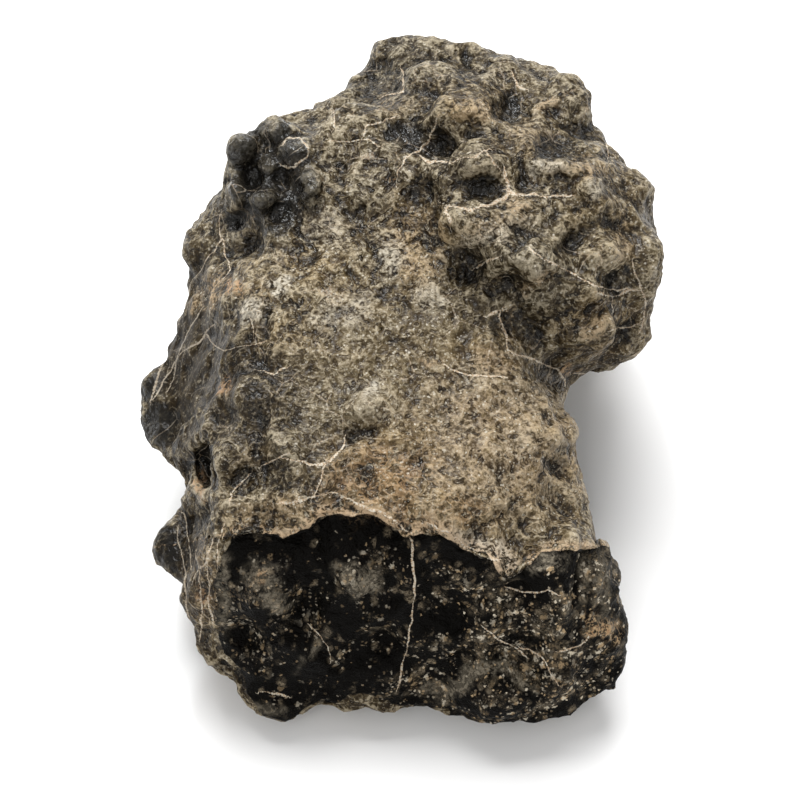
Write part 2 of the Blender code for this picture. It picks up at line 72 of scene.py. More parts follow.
relief = {
    "voxel": 0.36,
    "softenings": 4,
    "normalRounds": 8,
    "cobbles": [(3.4, 0.28, 0.2), (1.7, 0.15, 0.2), (1.0, 0.08, 0.2)],  # width, height, crease width
    "ridges": [(4.2, 0.3), (2.1, 0.2), (1.1, 0.12)],  # width, height
    "grain": (1, 0.75, 0.85),
    "bend": 1.1,
    "bendSize": 2.4,
    "formWarp": 0.7,
    "formWarpSize": 1.7,
    "raggedSize": 1.9,
    "calmOnBreak": 1.15,  # 1 leaves the relief as it is
    "calmOnSlope": 0.55,
    "slope": (1, -3, 16, 13),  # across, up, half length, half width
    "lipFront": (12, 18),  # how far forward the lip starts and is whole
    "lipOut": 0.5,
    "lipUnder": 1.7,
    "mostTriangles": 196000,
}

# Outline of the fresh broken face: across, up
breakOutline = [
    (-16.8, -15.8), (-15.5, -15.6), (-14, -15.5), (-11.5, -16.1), (-9, -15.1), (-8, -14.2), (-7, -13.7),
    (-5, -13.9), (-3, -13.7), (-2.2, -14.1), (-1, -15), (0.5, -16), (1.5, -15.8), (4, -15.6), (5, -16.4),
    (6, -17.1), (8, -17.9), (9, -18.1), (10, -19.5), (10.7, -20), (11.5, -19.7), (12.5, -19.0),
    (13.4, -18.1), (14.6, -17.6), (16.6, -17.3), (20.1, -17.0), (26, -16.3), (26, -36.3), (5, -36.3),
    (4.8, -33.3), (1.2, -33), (-1.2, -32.5), (-3.3, -31.6), (-5, -31.9), (-6, -32.6), (-8.2, -32.3),
    (-9.6, -33.1), (-11.2, -34.6), (-13.9, -33.9), (-15.2, -31.6), (-16, -29.0), (-17.8, -27.6),
    (-18.3, -24.8), (-18.7, -22.8), (-18.7, -21.3), (-18.3, -19.3), (-17.2, -17.1),
]
rimPoints = 26  # the first points of it are the overhanging upper rim

# Hollows (under zero) and knobs (over zero): across, up, half length, half width, turn, height
formsOnTop = [
    (11.0, 26.9, 2.2, 1.5, 0, -0.45), (-0.8, 24.6, 1.2, 1.6, 0, -0.3), (1.3, 23.8, 1.6, 1.6, 0, -0.3),
    (4.0, 23.1, 1.4, 2.0, 0, -0.4), (8.2, 18.7, 2.6, 1.5, -8, -0.5), (12.2, 19.3, 0.7, 1.0, 0, -0.3),
    (16.2, 22.9, 2.9, 1.6, 0, -0.4), (17.0, 13.2, 1.3, 1.3, 0, -0.2), (21.8, 9.4, 1.5, 1.5, 0, -0.25),
    (7.0, 20.8, 3.4, 1.4, 10, 0.45), (19.0, 18.6, 1.3, 1.3, 0, 0.4), (14.0, 13.0, 3.4, 1.2, 35, 0.35),
    (6.0, 14.4, 1.6, 1.2, 0, -0.3), (10.5, 11.5, 3.6, 1.0, 30, 0.3), (20.6, 13.8, 1.6, 1.2, 0, 0.35),
    (6.6, 32.1, 0.6, 1.0, 0, -0.4), (7.2, 30.2, 2.0, 0.8, 5, -0.4), (14.7, 27.1, 1.5, 0.7, 20, 0.3),
    (18.0, 20.8, 3.6, 0.8, 0, 0.4), (9.0, 14.9, 4.2, 1.2, 20, 0.45), (11.8, 17.1, 1.5, 0.6, 30, 0.4),
    (15.8, 10.9, 0.6, 0.6, 0, 0.3), (9.4, 4.8, 1.0, 1.6, 0, 0.4), (23.0, 4.3, 1.0, 1.0, 0, -0.3),
    (19.4, 4.9, 2.3, 1.1, 40, 0.3),
]
formsInCluster = [
    (-15.7, 22.7, 1.7, 1.7, 0, 0.6), (-12.5, 24.5, 1.9, 1.1, 0, 0.55), (-10.4, 22.5, 1.7, 1.2, 0, 0.55),
    (-13.0, 21.1, 0.9, 0.9, 0, 0.6), (-14.8, 19.6, 1.6, 1.3, 0, -0.7), (-16.4, 19.2, 0.8, 2.2, 0, 0.5),
    (-13.8, 17.7, 1.3, 1.3, 0, 0.5), (-8.8, 18.8, 0.9, 2.0, 0, 0.5), (-12.0, 16.7, 1.6, 0.9, 20, -0.3),
    (-16.5, 15.7, 0.9, 1.1, 0, -0.4), (-15.0, 13.2, 1.2, 1.2, 0, -0.4),
    (-11.7, 20.0, 0.6, 1.0, 30, -0.4),
]
formsOnSlope = [
    (-4.1, -5.6, 2.1, 0.6, 8, -0.3), (-2.5, -2.9, 3.2, 2.0, 5, 0.12), (-19.9, -8.9, 1.4, 2.0, 0, -1.2),
    (16.3, -5.7, 1.5, 1.5, 0, 0.5), (15.5, -8.8, 1.2, 1.0, 0, -0.5), (-19.8, -3.9, 2.2, 0.8, -70, 0.4),
    (-20.6, -12.6, 1.4, 0.8, -40, 0.4), (-20.0, 13.5, 1.6, 2.6, -15, 0.4),
    (-20.4, -10.4, 0.5, 1.6, 15, 0.6), (-15.0, -9.3, 2.2, 1.0, 30, -0.4),
    (-11.2, -10.8, 2.2, 0.9, -10, -0.4),
]
formsOnBreak = [
    (-4.3, -20.2, 2.1, 1.8, 0, 0.6), (-13.2, -21.0, 2.2, 2.4, 0, 0.6), (-8.9, -22.0, 1.4, 2.6, 10, -1.0),
    (9.5, -31.6, 4.1, 2.6, 0, 1.2), (8.8, -27.8, 3.6, 0.9, 0, -0.8), (20.2, -20.6, 1.4, 3.0, 10, 0.5),
    (13.0, -23.6, 2.0, 1.4, 0, -0.6), (18.2, -20.8, 0.6, 3.0, 0, -0.7), (14.6, -31.4, 1.6, 1.6, 0, 0.6),
    (20.0, -25.2, 1.8, 1.2, 0, 0.4), (5.2, -24.6, 1.8, 2.4, 20, -0.6), (-0.9, -26.0, 1.6, 2.4, 0, -0.6),
    (-15.2, -26.4, 1.8, 1.4, 0, -0.5), (3.6, -19.6, 2.0, 1.4, 0, -0.5), (8.9, -22.6, 1.4, 1.2, 0, 0.5),
    (-2.2, -23.6, 1.2, 1.5, 0, 0.5), (-16.9, -29.7, 1.6, 0.9, -45, -0.9),
    (-7.0, -33.4, 1.7, 0.9, 0, -0.8), (-12.4, -33.6, 2.2, 1.2, 0, 0.5), (-11.0, -26.6, 1.5, 1.2, 0, 0.5),
    (16.6, -26.2, 1.5, 1.2, 0, 0.5), (12.2, -30.2, 1.6, 1.2, 0, -0.5),
]


def evaluated(piece):
    # the mesh with its modifiers in it
    graph = bpy.context.evaluated_depsgraph_get()
    made = bpy.data.meshes.new_from_object(piece.evaluated_get(graph))
    piece.modifiers.clear()
    piece.data = made


def copyOfStone():
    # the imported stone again, with an even fine mesh
    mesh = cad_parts["meteorite"].data.copy()
    mesh.materials.clear()
    welded = bmesh.new()
    welded.from_mesh(mesh)
    bmesh.ops.remove_doubles(welded, verts=welded.verts, dist=1e-7)
    welded.to_mesh(mesh)
    welded.free()
    piece = bpy.data.objects.new("weatheredStone", mesh)
    bpy.context.scene.collection.objects.link(piece)
    remesh = piece.modifiers.new("even", "REMESH")
    remesh.mode = "VOXEL"
    remesh.voxel_size = relief["voxel"] * mm
    soften = piece.modifiers.new("soften", "SMOOTH")
    soften.iterations = relief["softenings"]
    evaluated(piece)
    return piece


def pointsOf(mesh, what="co"):
    found = np.empty(len(mesh.vertices) * 3)
    mesh.vertices.foreach_get(what, found)
    return found.reshape(-1, 3) / (mm if what == "co" else 1)


def setPoints(mesh, points):
    mesh.vertices.foreach_set("co", (points * mm).ravel())
    mesh.update()


def edgesOf(mesh):
    found = np.empty(len(mesh.edges) * 2, dtype=np.int64)
    mesh.edges.foreach_get("vertices", found)
    return found.reshape(-1, 2)


def spread(values, edges, rounds):
    # averages every point with its neighbours, again and again
    count = np.bincount(edges.ravel(), minlength=len(values))
    for _ in range(rounds):
        total = np.bincount(edges[:, 0], values[edges[:, 1]], len(values))
        total += np.bincount(edges[:, 1], values[edges[:, 0]], len(values))
        values = (values + total) / (count + 1)
    return values


def smoothed(vectors, edges, rounds):
    return np.stack([spread(vectors[:, axis], edges, rounds) for axis in range(3)], 1)


def placeInView(points):
    # across and up the front view, as its camera shows them
    offset = points - np.array(view["target"])
    grow = view["distance"] / (view["distance"] - offset @ towardsAxis)
    return offset[:, 0] * grow, offset @ upAxis * grow


def measured(piece, rounds):
    # points, edges, normals, smoothed normals, and the places across and up the front view
    mesh = piece.data
    points, edges, normals = pointsOf(mesh), edgesOf(mesh), pointsOf(mesh, "normal")
    smoothNormals = smoothed(normals, edges, rounds)
    smoothNormals /= np.linalg.norm(smoothNormals, axis=1, keepdims=True)
    return points, edges, normals, smoothNormals, *placeInView(points)


def seenInView(points, normals, mesh):
    # 1 where nothing hides the point in the front view
    faces = [tuple(face.vertices) for face in mesh.polygons]
    tree = BVHTree.FromPolygons([tuple(point) for point in points], faces)
    towards = Vector(towardsAxis)
    seen = np.zeros(len(points))
    facing = normals @ towardsAxis
    for at in np.flatnonzero(facing > -0.05):
        # the ray starts just off the surface, clear of its own face
        start = Vector(points[at]) + Vector(normals[at]) * 0.12 + towards * 0.05
        seen[at] = tree.ray_cast(start, towards)[0] is None
    return seen


def toLine(across, up, line):
    # signed distance of every point to a line: over zero on the left of its direction
    best = np.full(len(across), np.inf)
    side = np.ones(len(across))
    for (ax, ay), (bx, by) in zip(line, line[1:]):
        dx, dy = bx - ax, by - ay
        share = np.clip(((across - ax) * dx + (up - ay) * dy) / (dx * dx + dy * dy), 0, 1)
        away = np.hypot(across - ax - share * dx, up - ay - share * dy)
        closer = away < best
        best = np.where(closer, away, best)
        side = np.where(closer, np.sign(dx * (up - ay) - dy * (across - ax)), side)
    return best * np.where(side == 0, 1, side)


def insideOutline(across, up, outline):
    inside = np.zeros(len(across), dtype=bool)
    for (ax, ay), (bx, by) in zip(outline, outline[1:] + outline[:1]):
        if ay == by:
            continue
        crosses = (ay > up) != (by > up)
        inside ^= crosses & (across < ax + (up - ay) * (bx - ax) / (by - ay))
    return inside


def bendOf(point, size, amount):
    shifts = (0, 31.7, 57.3)
    return Vector([noise.noise(point / size + Vector((shift, 0, -shift))) for shift in shifts]) * amount


def cobblesAt(point, width, crease):
    near = noise.voronoi(point / width)[0]
    return 0.5 - near[0] + min(near[1] - near[0], crease) - crease


def roughSurface(points, calm):
    # how far the fine relief stands out, at every point
    heights = np.empty(len(points))
    for at, place in enumerate(points):
        point = Vector(place)
        bent = point + bendOf(point, relief["bendSize"], relief["bend"])
        height = 0
        for width, tall, crease in relief["cobbles"]:
            height += tall * cobblesAt(bent, width, crease)
        stretched = Vector([value * share for value, share in zip(bent, relief["grain"])])
        for width, tall in relief["ridges"]:
            height += tall * (0.5 - 2 * abs(noise.noise(stretched / width)))
        heights[at] = height * calm[at]
    return heights


def noiseOver(points, size, shift=0):
    # smooth noise, from -1 to 1, at every point; another shift gives another noise
    return np.array([noise.noise(Vector(place) / size + Vector((shift, 0, -shift))) for place in points])


def patchesOver(points, size, start, end, shift):
    # scattered patches with soft edges, from 0 to 1
    field = noiseOver(points, size, shift) + 0.5 * noiseOver(points, size / 2.3, shift + 9)
    return smoothStep(field, start, end)


def pressForms(across, up, seen, forms):
    height = np.zeros(len(across))
    for acrossAt, upAt, halfLength, halfWidth, turn, tall in forms:
        cosine, sine = math.cos(math.radians(turn)), math.sin(math.radians(turn))
        dx, dy = across - acrossAt, up - upAt
        out = np.hypot((dx * cosine + dy * sine) / halfLength, (dy * cosine - dx * sine) / halfWidth)
        soft = (1.5, 0.15) if tall < 0 else (1.3, 0.5)
        height += tall * smoothStep(out, *soft) * seen
    return height


print("stone: fine mesh")
stone = copyOfStone()
points, edges, normals, smoothNormals, across, up = measured(stone, relief["normalRounds"])
seen = spread(seenInView(points, smoothNormals, stone.data), edges, 2)


def freshness(across, up, smoothNormals, seen):
    # signed distance into the fresh broken face: it faces forward and turns round the right end
    toEdge = np.abs(toLine(across, up, breakOutline + breakOutline[:1]))
    toEdge = np.where(insideOutline(across, up, breakOutline), toEdge, -toEdge)
    forward = np.maximum(-smoothNormals[:, 1], smoothNormals[:, 0] * smoothStep(across, 13, 16))
    facing = np.maximum((forward - 0.3) * 6, (seen - 0.5) * 4)
    return np.clip(np.minimum(toEdge, facing), -2, 2)


def flatSlope(across, up, fresh, seen):
    # 1 on the broad flatter slope in the middle of the front view
    acrossAt, upAt, halfLength, halfWidth = relief["slope"]
    out = np.hypot((across - acrossAt) / halfLength, (up - upAt) / halfWidth)
    return smoothStep(out, 1.15, 0.6) * smoothStep(fresh, 0.3, -0.5) * seen


print("stone: relief")
fresh = freshness(across, up, smoothNormals, seen)
calm = 1 - (1 - relief["calmOnBreak"]) * smoothStep(fresh, -0.2, 0.6)
calm *= 1 - (1 - relief["calmOnSlope"]) * flatSlope(across, up, fresh, seen)
onFloor = smoothStep(points[:, 2], 0.02, 0.8)
height = roughSurface(points, calm)
warpAcross = relief["formWarp"] * noiseOver(points, relief["formWarpSize"])
warpUp = relief["formWarp"] * noiseOver(points, relief["formWarpSize"], 41)
ragged = noiseOver(points, relief["raggedSize"], 53)
forms = formsOnTop + formsInCluster + formsOnSlope + formsOnBreak
height += pressForms(across + warpAcross, up + warpUp, seen, forms)
toRim = toLine(across, up, breakOutline[:rimPoints])
nearFront = smoothStep(-points[:, 1], *relief["lipFront"]) * smoothStep(seen, 0.2, 0.8)

# the rim leans out over the broken face, and the face draws back under it
lip = relief["lipOut"] * (1 + ragged) * smoothStep(toRim, -0.1, 0.3) * smoothStep(toRim, 2.4, 0.6)
under = relief["lipUnder"] * (1 + 0.7 * ragged)
under *= smoothStep(toRim, -0.1, -0.9) * smoothStep(toRim, -4.5, -0.9)
moved = points + smoothNormals * (height * onFloor)[:, None]
moved[:, 1] += (under - lip) * nearFront
moved[:, 2] = np.maximum(moved[:, 2], 0)
setPoints(stone.data, moved)
thin = stone.modifiers.new("thin", "DECIMATE")
triangles = sum(len(face.vertices) - 2 for face in stone.data.polygons)
thin.ratio = min(relief["mostTriangles"] / triangles, 1)
print("stone: triangles", triangles, "thinned by", round(thin.ratio, 3))
evaluated(stone)
stone.data.shade_smooth()


# Thin tan veins: a half width, and the points that the vein runs through

veins = {
    "halfWidth": 0.12,
    "reach": 0.9,
    "wander": 0.12,
    "groups": 4,
    "broken front": [
        (0.12, [(1, -16), (1.2, -18.3), (1.4, -21.3), (1.2, -24.5), (0.8, -26.6), (0.2, -29.1),
                (-0.2, -30.9)]),
        (0.08, [(8.4, -25.1), (11, -26.8), (12.5, -27.9)]),
        (0.08, [(12, -27.1), (13.5, -27.6), (14.8, -28.9), (15.8, -30.6)]),
        (0.08, [(10.8, -21.1), (13.5, -21.6), (14.8, -21.3), (15.7, -21.7)]),
        (0.1, [(16, -27.4), (17.5, -27), (18.8, -26.1)]),
        (0.12, [(-13.8, -31.5), (-11.5, -31.9)]),
        (0.07, [(-9, -24.9), (-7.2, -27), (-7, -28.3)]),
    ],
    "left edge": [
        (0.1, [(-22.2, -15.3), (-21.5, -19.3), (-21, -24.3), (-20.3, -27.3)]),
        (0.1, [(-19.3, -18.3), (-20.7, -20.3)]),
        (0.09, [(-18.7, -16), (-19.3, -18.5), (-19.1, -21.5), (-18.7, -24.5)]),
        (0.09, [(-20.4, -17.2), (-20.1, -20.5), (-19.8, -23.5), (-20, -26.3)]),
        (0.09, [(-21.6, -13.8), (-21.1, -16.6), (-20.9, -19)]),
        (0.08, [(-17.6, -14.8), (-18.2, -16.8), (-18.3, -19)]),
        (0.09, [(-18, 16.2), (-17.8, 13.7), (-19.5, 11.5), (-21, 9.2), (-22.2, 5.2)]),
        (0.1, [(-17.7, 13.7), (-17, 10.7), (-17.8, 9.7)]),
        (0.07, [(-18.7, 5.2), (-21, 3), (-23.7, -0.3), (-24.8, -2.3)]),
        (0.1, [(-23.7, 1.5), (-24.9, -2.3)]),
        (0.08, [(-19.3, 4.2), (-18.7, 3.2)]),
        (0.08, [(-19.1, 3.8), (-17.6, 2.6), (-15.2, 3.2), (-13.7, 3.5)]),
        (0.1, [(-14.2, 0.7), (-12.5, 0.2), (-11.5, 0.9)]),
        (0.08, [(-15, 5.9), (-14.7, 4.2)]),
        (0.07, [(-19.7, 7.1), (-22, 2.7), (-23.2, -1.3)]),
    ],
    "knob cluster": [
        (0.11, [(-11.7, 23.4), (-11.1, 24), (-9.9, 23.9), (-9.2, 23.1), (-9.3, 22), (-10.3, 21.3)]),
        (0.12, [(-10.3, 21.3), (-11, 20.9), (-11.6, 21.1)]),
    ],
    "top": [
        (0.14, [(3.7, 25.7), (3, 24), (2, 22.7), (0.5, 21.9), (-0.2, 20.7), (-0.3, 19.7)]),
        (0.13, [(1.9, 22.2), (3.1, 21.4), (5.2, 21.4), (6, 21.9), (8, 22.3), (8.7, 22.7)]),
        (0.12, [(8.7, 22.4), (9.7, 21)]),
        (0.17, [(10.5, 20.5), (10.8, 19), (11, 18.5), (9.5, 17.4), (7, 16.6), (5.5, 17.1), (4.5, 17.3),
                (5, 15.5)]),
        (0.15, [(11, 18.5), (13.5, 18.4), (14.5, 18), (16.8, 18.2)]),
        (0.1, [(0.2, 30.7), (0.4, 28.5), (-1.9, 28)]),
        (0.12, [(11.3, 30.3), (11.7, 29.2), (12.4, 28.8)]),
        (0.1, [(-7, 23.7), (-3, 23.8), (-2.2, 23.2)]),
        (0.1, [(-3.8, 23.9), (-3.4, 25.2), (-0.5, 26)]),
        (0.08, [(-6.6, 26.5), (-6.6, 25.2)]),
        (0.1, [(20.5, 24.4), (20.8, 21.9)]),
        (0.13, [(20, 8.4), (21.2, 8), (23.7, 8.7)]),
        (0.1, [(21.2, 8), (21.3, 6.5)]),
        (0.1, [(21.2, 4.7), (22.2, 4.9), (23.8, 5.3)]),
        (0.12, [(7.7, 11), (9.5, 11.9)]),
        (0.11, [(13, 12.8), (16.4, 10.8), (20, 9), (22.6, 8.8)]),
        (0.1, [(23.3, 11.4), (24.4, 8.2), (24.1, 4.8)]),
        (0.1, [(17.4, 0.3), (20.4, 0.2), (23.4, 1.2), (24.8, 3.2)]),
    ],
    "slope": [
        (0.13, [(9, 6.2), (10, 6.7), (10.7, 4.2), (10.8, 2.7), (13, 1.9), (14.3, 1.3), (16, 0.5),
                (16.5, -0.8)]),
        (0.1, [(4.5, 1.2), (7.5, 0.1), (10.5, -0.1)]),
        (0.12, [(-13.5, -8.8), (-11.3, -7.7)]),
        (0.12, [(-11.5, -8.1), (-7.5, -8.7), (-6.2, -7.5), (-5.5, -6.3)]),
        (0.1, [(-7.5, -8.7), (-8.7, -12)]),
        (0.17, [(-11.7, -12.6), (-8.2, -11.8), (-6.7, -11.4), (-4.5, -12.6), (-2, -13.5), (-0.5, -14.3),
                (0.5, -15.3)]),
        (0.12, [(-15.1, -9.8), (-16.6, -11.3), (-17, -12.3)]),
        (0.15, [(3, -14.7), (5, -15.5), (7, -17.1), (10, -18.3)]),
    ],
}

# Patches on the surface: across, up, half length, half width, turn, strength

